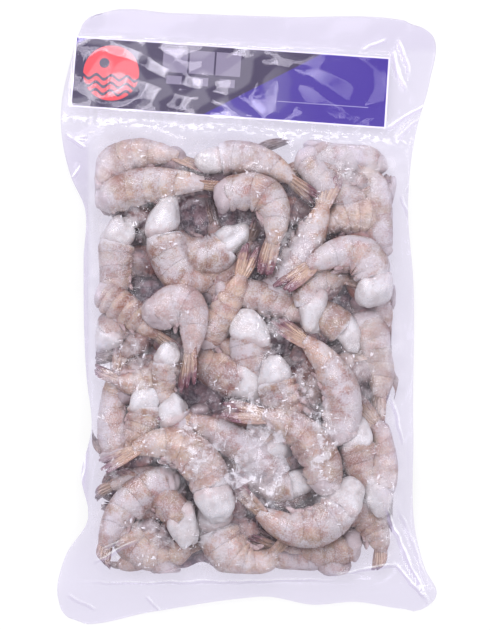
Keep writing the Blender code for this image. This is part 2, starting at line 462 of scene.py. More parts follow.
class Outline:
    """The bag's outline and flat margins, as the solid has them."""

    left = [(-121.5, -201), (-125.5, -181), (-120, -158), (-105, -133), (-109.5, -105), (-102.5, -73),
            (-106, -40), (-108, 38), (-107.5, 73), (-116, 92), (-123, 129), (-114, 179), (-107, 201)]
    right = [(119.5, -195), (125.5, -183), (118, -167), (113, -150), (110, -75), (110, 23),
             (106.5, 76), (112, 124), (121, 156), (124, 185), (118, 194)]
    bottom = [(-121.5, -201), (-112, -203), (-64, -195.5), (-6, -186.5), (12, -185), (44, -190.5),
              (72, -188.5), (100, -193), (119.5, -195)]
    top = [(-107, 201), (-100, 203), (-57, 201.5), (22, 199), (102, 197), (118, 194)]
    fill_left, fill_right, fill_bottom = -105, 105, -180
    fill_corner = 24
    corner_round = 9
    card_to_fill = 8
    least_margin = 2.5
    fin_high = 8.0
    header_high, header_fall, header_reach = 11.0, 8.6, 62
    seal_fall, seal_reach, seal_above = 5.6, 22, 4
    wave_high, wave_long = 0.8, 120
    side_shares = (0.04, 0.96, 1)
    end_shares = (0.05, 0.80, 1)

    @staticmethod
    def smooth(points: list, count: int) -> np.ndarray:
        """Evenly spaced points on a curve of cubic pieces through `points`, with averaged slopes.

        Args:
            points: corners of the outline's side.
            count: how many points are given back.

        Returns:
            Points as (count, 2).
        """
        points = np.array(points, float)
        span = np.hypot(*np.diff(points, axis=0).T)
        knots = np.concatenate([[0], np.cumsum(span)])
        slopes = np.gradient(points, knots, axis=0)
        place = np.linspace(0, 1, count) * knots[-1]
        piece = np.clip(np.searchsorted(knots, place, side="right") - 1, 0, len(span) - 1)
        step = span[piece][:, None]
        t = (place - knots[piece])[:, None] / step
        rise = t * t * (3 - 2 * t)
        return (points[piece] * (1 - rise) + points[piece + 1] * rise
                + slopes[piece] * t * (1 - t) ** 2 * step - slopes[piece + 1] * t * t * (1 - t) * step)

    def side(self, points: list, value: np.ndarray, axis: int) -> np.ndarray:
        """Where a side lies at each value of the other coordinate; `axis` is that coordinate's."""
        curve = self.smooth(points, 600)
        return np.interp(value, curve[:, axis], curve[:, 1 - axis])

    @staticmethod
    def banded(share: np.ndarray, ends: tuple, stops: tuple) -> np.ndarray:
        """Go from stop to stop in even steps.

        Args:
            share: how far along each place is, from 0 to 1.
            ends: the shares at which the next stop is reached.
            stops: the values at 0 and at each of those shares.

        Returns:
            The value at each place.
        """
        value = np.broadcast_to(stops[0], share.shape)
        for start, end, low, high in zip((0, *ends), ends, stops, stops[1:]):
            value = np.where(share > start, low + (high - low) * (share - start) / (end - start), value)
        return value

    def card_edge(self, x: np.ndarray) -> np.ndarray:
        """The y of the card's lower edge at each x."""
        half = CARD.depth / 2 / math.cos(CARD.turn)
        return CARD.centre[1] - half + (x - CARD.centre[0]) * math.tan(CARD.turn)

    def patch(self, across: np.ndarray, along: np.ndarray) -> tuple[np.ndarray, np.ndarray]:
        """Place a grid of points inside the outline, with straight rows round the filled part.

        Args:
            across: the columns' shares from the left rim to the right one.
            along: the rows' shares from the bottom seal to the top one.

        Returns:
            The points' x and y, as (rows, columns).
        """
        u, v = np.meshgrid(across, along)
        rough = self.banded(u, self.side_shares, (self.left[0][0], self.fill_left, self.fill_right,
                                                  self.right[0][0]))
        low, high = self.side(self.bottom, rough, 0), self.side(self.top, rough, 0)
        fill_top = self.card_edge(rough) - self.card_to_fill
        y = self.banded(v, self.end_shares, (low, self.fill_bottom, fill_top, high))
        from_end = np.clip(np.minimum(y - low, high - y) / self.corner_round, 0, 1)
        cut = self.corner_round * (1 - np.sqrt(1 - (1 - from_end) ** 2))
        left, right = self.side(self.left, y, 1) + cut, self.side(self.right, y, 1) - cut
        inner_left = np.maximum(self.fill_left, left + self.least_margin)
        inner_right = np.minimum(self.fill_right, right - self.least_margin)
        return self.banded(u, self.side_shares, (left, inner_left, inner_right, right)), y

    def depth_inside(self, x: np.ndarray, y: np.ndarray) -> np.ndarray:
        """How far a point lies inside the rounded space that the prawns fill.

        Args:
            x: how far right of the middle.
            y: how far above the middle.

        Returns:
            The distance to the nearest wall, negative outside.
        """
        from_side = np.minimum(x - self.fill_left, self.fill_right - x)
        from_end = np.minimum(y - self.fill_bottom, self.card_edge(x) - self.card_to_fill - y)
        short_x = np.maximum(self.fill_corner - from_side, 0)
        short_y = np.maximum(self.fill_corner - from_end, 0)
        return np.where((short_x > 0) & (short_y > 0), self.fill_corner - np.hypot(short_x, short_y),
                        np.minimum(from_side, from_end))

    def fade(self, x: np.ndarray, y: np.ndarray) -> np.ndarray:
        """How much frost veils the contents there.

        Two belts along the wall, a broad faint one and a narrow one, with a ragged inner edge. They are
        thicker on the right and under the card.

        Args:
            x: how far right of the middle.
            y: how far above the middle.

        Returns:
            The veil's share at each place.
        """
        places = flat(x, y)
        ragged = self.depth_inside(x, y) + 5 * ripple(places, 26, 71) + 2.5 * ripple(places, 8, 72)
        thick = 0.55 + 0.25 * ease(60, 100, x) * ease(-150, -90, y) + 0.10 * ease(60, 110, y)
        return thick * (0.45 * ease(24, 8, ragged) + 0.55 * ease(12, 1, ragged))

    def margin(self, x: np.ndarray, y: np.ndarray) -> np.ndarray:
        """Height of the middle of the flat margins: side fins, falling to the table at both ends.

        Args:
            x: how far right of the middle.
            y: how far above the middle.

        Returns:
            The height at each place, with a slow wave towards both ends.
        """
        above_fill = y - self.card_edge(x) + self.card_to_fill
        header = self.header_high - self.header_fall * ease(0, self.header_reach, above_fill)
        below_fill = self.fill_bottom + self.seal_above - y
        seal = self.fin_high - self.seal_fall * ease(0, self.seal_reach, below_fill)
        upper_half = self.fin_high + (header - self.fin_high) * ease(90, 130, y)
        height = np.where(y < 0, np.minimum(self.fin_high, seal), upper_half)
        wave = np.sin(TAU * x / self.wave_long + 0.9) * np.cos(TAU * y / self.wave_long)
        return height + self.wave_high * wave * ease(60, 150, np.abs(y))


@dataclass(frozen=True)
class CardPlace:
    """Where the printed card lies in the header."""

    centre: tuple[float, float] = (-11, 155)
    width: float = 209
    depth: float = 47.5
    turn: float = math.radians(-3.98)


class HeapSpace(Outline):
    """The part of the filled space that the prawns reach: the film bridges the rest."""

    fill_left, fill_right, fill_bottom = -103.5, 100, -172.5
    uneven, uneven_long = 2.0, 45

    def depth_inside(self, x: np.ndarray, y: np.ndarray) -> np.ndarray:
        """The same depth, with an uneven wall."""
        return super().depth_inside(x, y) + self.uneven * ripple(flat(x, y), self.uneven_long, 19)


@dataclass(frozen=True)
class Crease:
    """One long fold of the film: a low ridge between two points, with a light and a shaded side."""

    start: tuple[float, float]
    end: tuple[float, float]
    high: float
    wide: float
    light: float


CARD = CardPlace()
OUTLINE = Outline()
HEAP_SPACE = HeapSpace()
CREASES = [
    Crease((93, -128), (121, -190), 1.4, 2.2, 0.95),
    Crease((98, -162), (119, -187), 1.2, 2.0, 0.90),
    Crease((101, -126), (119, -172), 0.8, 2.0, 0.35),
    Crease((56, -169), (99, -163), 0.9, 2.0, 0.70),
    Crease((-106, -175), (60, -173), 0.5, 1.8, 0.45),
    Crease((-118, -183), (-100, -194), 0.9, 2.2, 0.45),
    Crease((-66, -184), (-56, -195), 0.8, 2.0, 0.45),
    Crease((-101, -161), (-73, -146), 0.6, 2.0, 0.55),
    Crease((-95, -152), (-80, -146), 0.5, 1.8, 0.50),
    Crease((91, 124), (120, 142), 1.2, 2.0, 0.95),
    Crease((96, 116), (117, 133), 0.8, 2.0, 0.35),
    Crease((97, 176), (106, 150), 1.2, 2.6, 0.90),
    Crease((101, 183), (109, 160), 0.9, 2.4, 0.70),
    Crease((76, 177), (92, 185), 0.6, 2.0, 0.45),
    Crease((-119, 121), (-107, 112), 0.8, 2.0, 0.80),
    Crease((-114, 118), (-106, 120), 0.7, 1.8, 0.70),
    Crease((-115, 92), (-110, 100), 0.8, 2.0, 0.80),
    Crease((104, 82), (112, 98), 0.9, 2.0, 0.50),
    Crease((103, 80), (110, 62), 0.9, 2.2, 0.50),
    Crease((96, -52), (104, -84), 0.8, 2.0, 0.55),
    Crease((-112, -130), (-106, -82), 0.6, 2.0, 0.40),
]


class Kind(Enum):
    """What a prawn mostly shows."""

    SHELL = "grey banded shell"
    MEAT = "white cut meat at the head end"
    BROWN = "dark brown bands"
    PALE = "pale pink"


@dataclass
class Prawn:
    """One headless prawn lying on its side, as a bow from its cut end over its bend to its tail.

    The bow is a quadratic curve. The body swells and tapers along it, six shell rings, or five behind bare
    meat, step down one after the other towards the tail, and five ribbed blades make the fan.
    """

    head: tuple[float, float]
    bend: tuple[float, float]
    tail: tuple[float, float]
    heights: tuple[float, float]
    size: float
    kind: Kind
    on_top: bool
    seed: int = 0
    hidden: bool = False

    half_depth = 12.2
    bare_start, shell_start, shell_end, fan_start, fan_aim = 0.15, 0.06, 0.82, 0.765, 0.97
    meat_at, meat_reach, meat_size = 0.07, 0.66, 0.84
    blade_lengths = {0: 23, 1: 26, 2: 24}
    paddle_places, paddle_levels = (0.30, 0.42, 0.54), (-0.30, 0.15)
    along = [0, 0.05, 0.10, 0.20, 0.38, 0.55, 0.68, 0.78, 0.82, 0.90, 0.96, 1]
    girth = [0.62, 0.80, 0.92, 1, 1, 0.86, 0.66, 0.50, 0.42, 0.36, 0.26, 0.12]
    ring_ends = [0.0, 0.13, 0.26, 0.39, 0.51, 0.63, 0.80]
    ring_steps = [0, 0.06, 0.14, 0.26, 0.40, 0.54, 0.68, 0.80, 0.89, 0.95, 0.985, 1]

    def __post_init__(self) -> None:
        """Draw this prawn's own differences."""
        chance = np.random.default_rng(1000 + self.seed)
        self.roll = chance.normal(0, 0.22)
        self.tone = chance.uniform(0, 1)
        self.warm = chance.uniform(0, 1)
        self.frost = chance.uniform(0, 1) * (0.3 if self.kind is Kind.BROWN else 1)
        self.stripe = {Kind.BROWN: 1.0, Kind.PALE: 0.1}.get(self.kind, chance.uniform(0.2, 0.8))
        self.spread = chance.uniform(0.35, 1.0)
        self.twist = chance.uniform(0.25, 1.1) * chance.choice([-1, 1])
        self.knob_lean = chance.uniform(-0.30, 0.30)
        self.stub = chance.uniform(0.74, 0.98)
        self.stub_reach = chance.uniform(0.90, 1.30)
        self.jag = chance.uniform(0, TAU)

    def line(self, t: np.ndarray) -> tuple[np.ndarray, np.ndarray, np.ndarray]:
        """The bow at shares of its length; beyond its ends it goes on straight.

        Args:
            t: the shares, from 0 at the cut end to 1 at the tail.

        Returns:
            For each share its place, its direction and the way to its outer side.
        """
        t = np.asarray(t, float)[..., None]
        head, bend, tail = (np.array([*spot, 0.0]) for spot in (self.head, self.bend, self.tail))
        height = self.heights[0] + (self.heights[1] - self.heights[0]) * t
        inside = np.clip(t, 0, 1)
        place = (1 - inside) ** 2 * head + 2 * inside * (1 - inside) * bend + inside * inside * tail
        way = (1 - inside) * (bend - head) + inside * (tail - bend)
        way = way / np.linalg.norm(way, axis=-1, keepdims=True)
        reach = 2 * np.linalg.norm(bend - head)
        place = place + (t - inside) * reach * way + height * UP
        side = np.sign(np.cross(bend - head, tail - bend)[2]) or 1.0
        return place, way, np.cross(way, UP) * side

    def radius(self, t: np.ndarray) -> np.ndarray:
        """Half the body's depth at each share of its length."""
        return self.half_depth * self.size * np.interp(t, self.along, self.girth)

    def body(self, rounds: int) -> Patch:
        """The shell rings, closed at both ends.

        The section is an oval, full at the back and flatter at the belly, where each ring hangs down in a
        lobe. A ring swells towards its rear edge and ends in a small step over the next one. The first one
        has a torn front edge.

        Args:
            rounds: how many points each section has.

        Returns:
            The closed body. Its traits tell the bands, the rings' edges, the back, the upper side, the torn
            mouth and the warm tail end.
        """
        bare = self.kind is Kind.MEAT
        start = self.bare_start if bare else self.shell_start
        ends = np.array(self.ring_ends[bare:])
        ends[1:-1] += np.random.default_rng(300 + self.seed).normal(0, 0.008, len(ends) - 2)
        ends[0] = start
        steps = np.array(self.ring_steps)
        t = (ends[:-1, None] + np.diff(ends)[:, None] * steps).ravel()
        share = np.tile(steps, len(ends) - 1)[:, None]
        ring = np.repeat(np.arange(len(ends) - 1), len(steps))[:, None]
        angle = around(rounds) + 0 * share
        back, up = np.cos(angle), np.sin(angle)
        last = ring == len(ends) - 2
        slant = (0.012 * back - 0.020 * up * up) * np.where(last, 1 - share, 1.0)
        torn = np.sin(2 * angle + self.jag) + 0.6 * np.sin(5 * angle + 3 * self.jag)
        opening = (ring == 0) * (1 - share) ** 3
        slant = slant + 0.022 * torn * opening
        slanted = t[:, None] + slant * (t[:, None] > start + 0.02)
        place, _, outer = self.line(np.clip(slanted, 0.0, self.shell_end))
        size = self.radius(t)[:, None] * (1 - 0.42 * last * np.clip(share - 0.45, 0, 1) - 0.10 * opening)
        step = 1 + 0.021 * share ** 3 + 0.012 * np.sin(math.pi * share)
        lobe = np.where(last, 0.3, 1.0) * np.sin(math.pi * np.clip(share * 1.1, 0, 1)) ** 0.7
        belly = ease(0.35, 0.95, -back)
        deep = np.where(back > 0, back, back * (0.86 + 0.14 * lobe * belly)) * step
        wide = np.sign(up) * np.abs(up) ** 0.88 * 0.88 * step * (1 - 0.22 * belly)
        section = self.turned(deep, wide, outer)
        points = place + section * size[..., None]
        uneven = (0.030 * ripple(points, 17, self.seed + 40) + 0.010 * ripple(points, 6, self.seed + 80)
                  + 0.003 * ripple(points, 2.6, self.seed + 90))
        points = points + section * (size * uneven)[..., None]
        band = bell(share, 0.74, 0.26) * (0.6 + 0.4 * back) * self.stripe
        edge = share ** 14 + 0.25 * (1 - share) ** 12
        mouth = bare * np.exp(-np.maximum(t - start, 0) / 0.05)[:, None]
        traits = {"band": band, "edge": edge + 0 * angle, "back": 0.5 + 0.5 * back,
                  "rise": 0.5 + 0.5 * up, "mouth": mouth + 0 * angle,
                  "warm": self.warm * ease(0.35, 0.85, t)[:, None] + 0 * angle}
        return self.signed(Patch.tube(points, traits))

    def turned(self, deep: np.ndarray, wide: np.ndarray, outer: np.ndarray) -> np.ndarray:
        """Put a section's two measures into space, turned by the prawn's roll.

        Args:
            deep: how far towards the back.
            wide: how far towards the upper side.
            outer: the way to the bow's outer side.

        Returns:
            The steps from the bow.
        """
        back_way = outer * math.cos(self.roll) + UP * math.sin(self.roll)
        side_way = UP * math.cos(self.roll) - outer * math.sin(self.roll)
        return deep[..., None] * back_way + wide[..., None] * side_way

    def signed(self, patch: Patch) -> Patch:
        """Give every point this prawn's own numbers.

        Args:
            patch: one of its surfaces, changed in place.

        Returns:
            The same surface.
        """
        full = np.ones(len(patch.points))
        patch.traits.update(tone=full * self.tone, frost=full * self.frost,
                            pale=full * (self.kind is Kind.PALE), brown=full * (self.kind is Kind.BROWN),
                            buried=full * self.hidden)
        return patch

    def cut_end(self) -> Patch:
        """The lump of meat at the cut end: a ball drawn out along the body, with uneven relief.

        Returns:
            The closed lump. Its traits tell its front and whether it is bare meat.
        """
        rows, rounds = 26, 34
        polar = np.linspace(0.06, math.pi - 0.06, rows)[:, None]
        angle = around(rounds)
        meat = self.kind is Kind.MEAT
        reach = self.stub_reach if meat else self.meat_reach
        ahead = np.cos(polar) + 0 * angle
        deep, wide = np.sin(polar) * np.cos(angle), np.sin(polar) * np.sin(angle)
        ahead, deep, wide = (np.sign(part) * np.abs(part) ** 0.86 for part in (ahead, deep, wide))
        unit = space(ahead, deep, wide)
        lumps = 1 + 0.18 * ripple(unit, 2.0, self.seed + 7) + 0.05 * ripple(unit, 0.8, self.seed + 9)
        narrow = 1 - 0.22 * ahead
        place, way, outer = self.line(np.array(self.meat_at if meat else self.shell_start))
        size = self.half_depth * self.size * (self.stub if meat else self.meat_size)
        leaning = (deep * narrow + self.knob_lean * ahead) * lumps
        points = (place - way * (ahead * reach * lumps * size)[..., None]
                  + self.turned(leaning, wide * narrow * lumps * 0.9, outer) * size)
        traits = {"tip": ease(-0.9, 0.3, ahead), "meat": np.full(ahead.shape, float(meat))}
        return self.signed(Patch.tube(points, traits))

    def tail_fan(self) -> Patch:
        """Five blades from the last ring: long leaf shapes with a rib each, half spread and overlapping.

        Returns:
            The five closed blades. Their traits tell the way along, the rib and the way across the fan.
        """
        rows, rounds = 14, 12
        s = np.linspace(0.0, 1.0, rows)[:, None]
        angle = around(rounds)
        root, way, outer = self.line(np.array(self.fan_start))
        _, end_way, end_outer = self.line(np.array(self.fan_aim))
        chance = np.random.default_rng(5000 + self.seed)
        heading, side = way * 0.45 + end_way * 0.55, outer * 0.45 + end_outer * 0.55
        flat_way = side * math.cos(self.twist) + UP * math.sin(self.twist)
        thick_way = UP * math.cos(self.twist) - side * math.sin(self.twist)
        blades = []
        for lean in (-2, 2, -1, 1, 0):
            middle = lean == 0
            length = self.blade_lengths[abs(lean)] * self.size * chance.uniform(0.9, 1.08)
            width = (2.2 if middle else 3.3) * self.size
            turn = lean * 0.10 * self.spread + chance.normal(0, 0.03)
            ahead = heading * math.cos(turn) + flat_way * math.sin(turn)
            across = flat_way * math.cos(turn) - heading * math.sin(turn)
            leaf = np.sin(math.pi * np.clip(0.20 + 0.76 * s, 0, 1)) ** 0.5 * (1 - 0.6 * s * middle)
            spine = 0.5 * bell(np.cos(angle), 0, 0.35) * np.sign(np.sin(angle))
            thick = (1.5 - 1.0 * s) * (0.8 * np.sin(angle) + spine) * self.size
            layer = (0.7 * (2 - abs(lean)) * (0.6 + 0.4 * s)) * self.size
            points = (root + flat_way * (lean * 1.25 * self.size) + ahead * (s * length)[..., None]
                      + across * (leaf * width * np.cos(angle))[..., None]
                      + thick_way * (thick + layer - 1.2 * s * s)[..., None])
            traits = {"along": s + 0 * angle, "rib": bell(np.cos(angle), 0, 0.3) + 0 * s,
                      "across": lean * 1.7 + 2.9 * np.cos(angle) + 0 * s}
            blades.append(Patch.tube(points, traits))
        return self.signed(Patch.join(blades))

    def swimmerets(self) -> Patch:
        """The small paddles under the belly, folded back: flat drops along the inner side of the bow.

        Returns:
            The closed paddles. Their trait tells the way along.
        """
        rows, rounds = 7, 6
        s = np.linspace(0, 1, rows)[:, None]
        angle = around(rounds)
        chance = np.random.default_rng(7000 + self.seed)
        paddles = []
        for t in self.paddle_places:
            for level in self.paddle_levels:
                place, way, outer = self.line(np.array(t + chance.uniform(-0.02, 0.02)))
                size = float(self.radius(np.array(t)))
                root = place + self.turned(np.array(-0.80 * size), np.array(level * size), outer)
                slope = chance.uniform(0.05, 0.45)
                ahead = way * math.cos(slope) - outer * math.sin(slope)
                across = np.cross(ahead, UP)
                leaf = np.sin(math.pi * np.clip(0.12 + 0.8 * s, 0, 1)) ** 0.7
                length = chance.uniform(5.5, 9.0) * self.size
                points = (root + ahead * (s * length)[..., None]
                          + across * (leaf * 1.7 * self.size * np.cos(angle))[..., None]
                          + UP * (0.55 * leaf * np.sin(angle))[..., None])
                paddles.append(Patch.tube(points, {"along": s + 0 * angle}))
        return self.signed(Patch.join(paddles))


def lay(kind: Kind, on_top: bool, *rows: tuple) -> list[Prawn]:
    """Lay prawns of one kind.

    Args:
        kind: what they mostly show.
        on_top: whether they lie in the top layer.
        rows: for each one its head, bend and tail place, its two heights and its size.

    Returns:
        The prawns, each with its own seed.
    """
    return [Prawn(head, bend, tail, heights, size, kind, on_top,
                  seed=int(abs(head[0]) * 7 + abs(bend[1]) * 3))
            for head, bend, tail, heights, size in rows]


PRAWNS = [
    *lay(Kind.SHELL, False,
         ((91, 98), (55, 118), (25, 91), (11, 12), 0.95),
         ((35, 110), (61, 67), (88, 85), (12, 18), 0.85),
         ((98, 60), (65, 80), (35, 44), (12, 12), 1.05),
         ((86, 39), (94, 80), (77, 105), (13, 19), 0.85),
         ((14, 11), (46, 50), (55, 90), (13, 24), 0.95),
         ((-28, 11), (-5, 36), (7, 60), (11, 16), 0.8),
         ((-22, 16), (22, 16), (53, -13), (15, 19), 0.9),
         ((-85, -95), (-95, -62), (-80, -19), (11, 12), 0.85),
         ((-38, -23), (-71, -56), (-96, -36), (13, 23), 0.85),
         ((28, -52), (-5, -25), (-27, -9), (9, 19), 0.8),
         ((47, -63), (15, -67), (-9, -83), (11, 18), 0.8),
         ((35, -60), (58, -30), (79, -23), (11, 18), 0.8),
         ((69, 31), (91, 17), (96, -21), (11, 15), 0.8),
         ((72, -2), (97, -22), (83, -72), (15, 10), 1.1),
         ((-85, -134), (-64, -177), (-22, -141), (11, 9), 1.05),
         ((73, -148), (45, -162), (5, -151), (12, 9), 0.95),
         ((67, -125), (92, -138), (88, -166), (12, 12), 0.9),
         ((-48, -113), (-74, -101), (-100, -117), (12, 15), 0.8),
         ((24, -107), (-11, -75), (-55, -62), (17, 24), 0.95)),
    *lay(Kind.MEAT, False,
         ((-6, 56), (-31, 17), (-64, 77), (20, 10), 1.1),
         ((-82, 60), (-95, 24), (-76, -9), (22, 10), 1.0),
         ((2, -4), (-1, -29), (19, -82), (24, 8), 1.1),
         ((5, -45), (-21, -37), (-64, -9), (20, 9), 1.05),
         ((-68, -52), (-64, -75), (-90, -108), (20, 9), 0.95),
         ((-50, -58), (-44, -82), (-10, -96), (19, 10), 0.9),
         ((68, -14), (55, 3), (10, 11), (22, 10), 1.0),
         ((-97, -19), (-84, 8), (-54, -4), (15, 10), 0.9),
         ((22, -88), (10, -79), (3, -35), (17, 8), 0.9),
         ((36, -109), (15, -118), (-16, -89), (19, 8), 0.95),
         ((72, -75), (72, -101), (92, -134), (23, 9), 1.05),
         ((-26, -121), (-7, -194), (35, -140), (16, 12), 1.2),
         ((85, -122), (106, -89), (73, -58), (20, 17), 1.05)),
    *lay(Kind.SHELL, True,
         ((-101, 78), (-87, 125), (-21, 96), (18, 14), 1.0),
         ((-98, 74), (-64, 95), (-6, 83), (23, 27), 1.0),
         ((-22, 77), (39, 99), (8, 20), (26, 28), 1.05),
         ((-30, -19), (-11, 6), (2, 41), (16, 28), 0.85),
         ((57, -82), (79, -39), (15, 0), (25, 29), 1.05),
         ((51, -116), (53, -66), (-14, -61), (27, 28), 1.1),
         ((-46, -108), (-89, -113), (-99, -173), (18, 20), 1.0)),
    *lay(Kind.MEAT, True,
         ((-29, 101), (10, 114), (43, 77), (20, 18), 0.95),
         ((-56, 75), (-53, -1), (-6, 35), (26, 15), 1.1),
         ((46, -2), (26, 36), (89, 21), (23, 14), 0.95),
         ((85, 10), (85, 70), (15, 15), (23, 29), 1.1),
         ((-50, -22), (-63, -50), (-43, -75), (26, 12), 0.7),
         ((17, -33), (22, -62), (50, -87), (27, 10), 1.15),
         ((-39, -141), (-51, -116), (-79, -107), (24, 16), 0.9),
         ((-19, -133), (-28, -55), (-101, -101), (28, 23), 1.15),
         ((71, -109), (42, -170), (-13, -108), (27, 23), 1.1)),
    *lay(Kind.BROWN, True,
         ((-98, 17), (-77, 4), (-47, -23), (21, 18), 0.9)),
    *lay(Kind.PALE, True,
         ((-64, -4), (-22, 36), (-43, -56), (27, 29), 1.1)),
]


@dataclass(frozen=True)
class Bed:
    """The hidden lower layer: bowed prawns in staggered rows, turned by chance."""

    across: int = 5
    along: int = 8
    reach: float = 46
    bow: float = 22
    height: float = 9.5
    size: float = 0.86
    half_width: float = 73
    lowest_row: float = -150
    highest_row: float = 96
    stagger: float = 8
    seed: int = 7

    def prawns(self) -> list[Prawn]:
        """Lay the rows out and draw each prawn's turn.

        Returns:
            The bed's prawns, row by row from the bottom seal.
        """
        chance = np.random.default_rng(self.seed)
        laid = []
        for row, y in enumerate(np.linspace(self.lowest_row, self.highest_row, self.along)):
            shift = self.stagger if row % 2 else -self.stagger
            for x in np.linspace(-self.half_width, self.half_width, self.across) + shift:
                turn = chance.uniform(0, TAU)
                reach = np.array([math.cos(turn), math.sin(turn)]) * self.reach / 2
                bow = np.array([-math.sin(turn), math.cos(turn)]) * self.bow
                centre = np.array([x, y]) + chance.normal(0, 2, 2)
                laid.append(Prawn(tuple(centre - reach), tuple(centre + bow), tuple(centre + reach),
                                  (self.height, self.height), self.size, Kind.SHELL, False,
                                  seed=900 + len(laid), hidden=True))
        return laid


class HeightMap:
    """Heights on an even raster over the pack, with its own lookups."""

    def __init__(self, cell: float = 1.25, reach_x: float = 130, reach_y: float = 208) -> None:
        """Lay out the raster.

        Args:
            cell: width of a cell in millimetres.
            reach_x: half the raster's width.
            reach_y: half the raster's length.
        """
        self.cell, self.reach_x, self.reach_y = cell, reach_x, reach_y
        self.x, self.y = np.meshgrid(np.arange(-reach_x, reach_x + cell, cell),
                                     np.arange(-reach_y, reach_y + cell, cell))
        self.z = np.zeros_like(self.x)

    def raise_to(self, points: np.ndarray) -> None:
        """Lift every cell to the highest of the points over it."""
        column = np.rint((points[:, 0] + self.reach_x) / self.cell).astype(int)
        row = np.rint((points[:, 1] + self.reach_y) / self.cell).astype(int)
        np.maximum.at(self.z, (row, column), points[:, 2])

    def look_up(self, grid: np.ndarray, x: np.ndarray, y: np.ndarray) -> np.ndarray:
        """Read a grid of this raster's size between its cells.

        Args:
            grid: a number for each cell.
            x: how far right of the middle.
            y: how far above the middle.

        Returns:
            The grid's value at each place, blended between the four nearest cells.
        """
        column = np.clip((x + self.reach_x) / self.cell, 0, grid.shape[1] - 1.001)
        row = np.clip((y + self.reach_y) / self.cell, 0, grid.shape[0] - 1.001)
        c, r = column.astype(int), row.astype(int)
        u, v = column - c, row - r
        return ((1 - v) * ((1 - u) * grid[r, c] + u * grid[r, c + 1])
                + v * ((1 - u) * grid[r + 1, c] + u * grid[r + 1, c + 1]))

    def at(self, x: np.ndarray, y: np.ndarray) -> np.ndarray:
        """The height at each place."""
        return self.look_up(self.z, x, y)


def widen(grid: np.ndarray) -> np.ndarray:
    """Widen what is tall by one cell.

    Args:
        grid: a number for each cell.

    Returns:
        For each cell the largest value of itself and its eight neighbours.
    """
    tall = grid.copy()
    tall[1:] = np.maximum(tall[1:], grid[:-1])
    tall[:-1] = np.maximum(tall[:-1], grid[1:])
    broad = tall.copy()
    broad[:, 1:] = np.maximum(broad[:, 1:], tall[:, :-1])
    broad[:, :-1] = np.maximum(broad[:, :-1], tall[:, 1:])
    return broad


def blur(grid: np.ndarray, rounds: int) -> np.ndarray:
    """Even a grid out.

    Args:
        grid: a number for each cell.
        rounds: how often every inner cell takes the mean of its four neighbours and twice itself.

    Returns:
        The softer grid.
    """
    for _ in range(rounds):
        soft = grid.copy()
        soft[1:-1, 1:-1] = (grid[:-2, 1:-1] + grid[2:, 1:-1] + grid[1:-1, :-2] + grid[1:-1, 2:]
                            + 2 * grid[1:-1, 1:-1]) / 6
        grid = soft
    return grid


@dataclass
class PrawnHeap:
    """All the prawns, pressed into the space between the films."""

    prawns: list[Prawn]
    wall_gap: float = 1.2
    squeeze: float = 7
    probe: float = 0.5
    floor_gap: float = 0.6
    shoulder_round: float = 13
    shoulder_high: float = 37
    floor_soft: float = 1.5
    floor_reach: float = 2.4
    deepest: float = 30
    rounds_on_top: int = 40
    rounds_below: int = 24
    rounds_hidden: int = 16
    parts: dict[str, Patch] = field(default_factory=dict)

    def press(self, patch: Patch) -> Patch:
        """Keep a surface clear of the walls, the shoulder and the table.

        Near a wall the depth falls off as an exponential, so what would cross it is squeezed inside. What
        lies above the shoulder is lowered to it, and what lies near the table is lifted off it likewise.

        Args:
            patch: the surface, changed in place.

        Returns:
            The same surface.
        """
        x, y, z = patch.points.T
        reach, probe = self.squeeze, self.probe
        inside = HEAP_SPACE.depth_inside
        depth = inside(x, y)
        way = np.stack([inside(x + probe, y), inside(x, y + probe)]) - depth
        way = way / np.maximum(np.hypot(*way), 0.01)
        wanted = self.wall_gap + reach * np.exp(np.minimum(depth - self.wall_gap - reach, 0) / reach)
        move = np.where(depth < self.wall_gap + reach, wanted - depth, 0)
        x, y = x + way[0] * move, y + way[1] * move
        depth = np.clip(OUTLINE.depth_inside(x, y) / self.shoulder_round, 0, 1)
        limit = OUTLINE.margin(x, y) + self.shoulder_high * np.sqrt(1 - (1 - depth) ** 2)
        z = np.minimum(z, limit)
        above = np.maximum(z - self.floor_gap, 0)
        low = self.floor_gap + self.floor_soft * (1 - np.exp(-above / self.floor_soft))
        z = np.where(z < self.floor_reach, np.maximum(low, self.floor_gap + 0.02 * z), z)
        patch.points = space(x, y, z)
        return patch

    def gather(self) -> None:
        """Make the surfaces of every prawn, grouped by what they are."""
        names = ("shells_on_top", "shells_below", "cut_meat", "tail_fans", "swimmerets")
        groups: dict[str, list[Patch]] = {name: [] for name in names}
        for prawn in self.prawns:
            rounds = (self.rounds_on_top if prawn.on_top
                      else self.rounds_hidden if prawn.hidden else self.rounds_below)
            groups["shells_on_top" if prawn.on_top else "shells_below"].append(prawn.body(rounds))
            groups["cut_meat"].append(prawn.cut_end())
            groups["tail_fans"].append(prawn.tail_fan())
            groups["swimmerets"].append(prawn.swimmerets())
        self.parts = {name: self.press(Patch.join(patches)) for name, patches in groups.items()}

    def height_map(self) -> HeightMap:
        """Find the height of the heap.

        Returns:
            The height over the whole pack, one cell wider than the prawns.
        """
        heap = HeightMap()
        for patch in self.parts.values():
            heap.raise_to(patch.points)
        heap.z = widen(heap.z)
        return heap

    def sink(self, film: HeightMap) -> None:
        """Give every point its depth, as a share of the deepest, from which the finishes paint shade, and
        the frost that veils it.

        Args:
            film: the height of the upper film.
        """
        for patch in self.parts.values():
            x, y, z = patch.points.T
            patch.traits["deep"] = np.clip((film.at(x, y) - z) / self.deepest, 0, 1)
            patch.traits["fade"] = OUTLINE.fade(x, y)


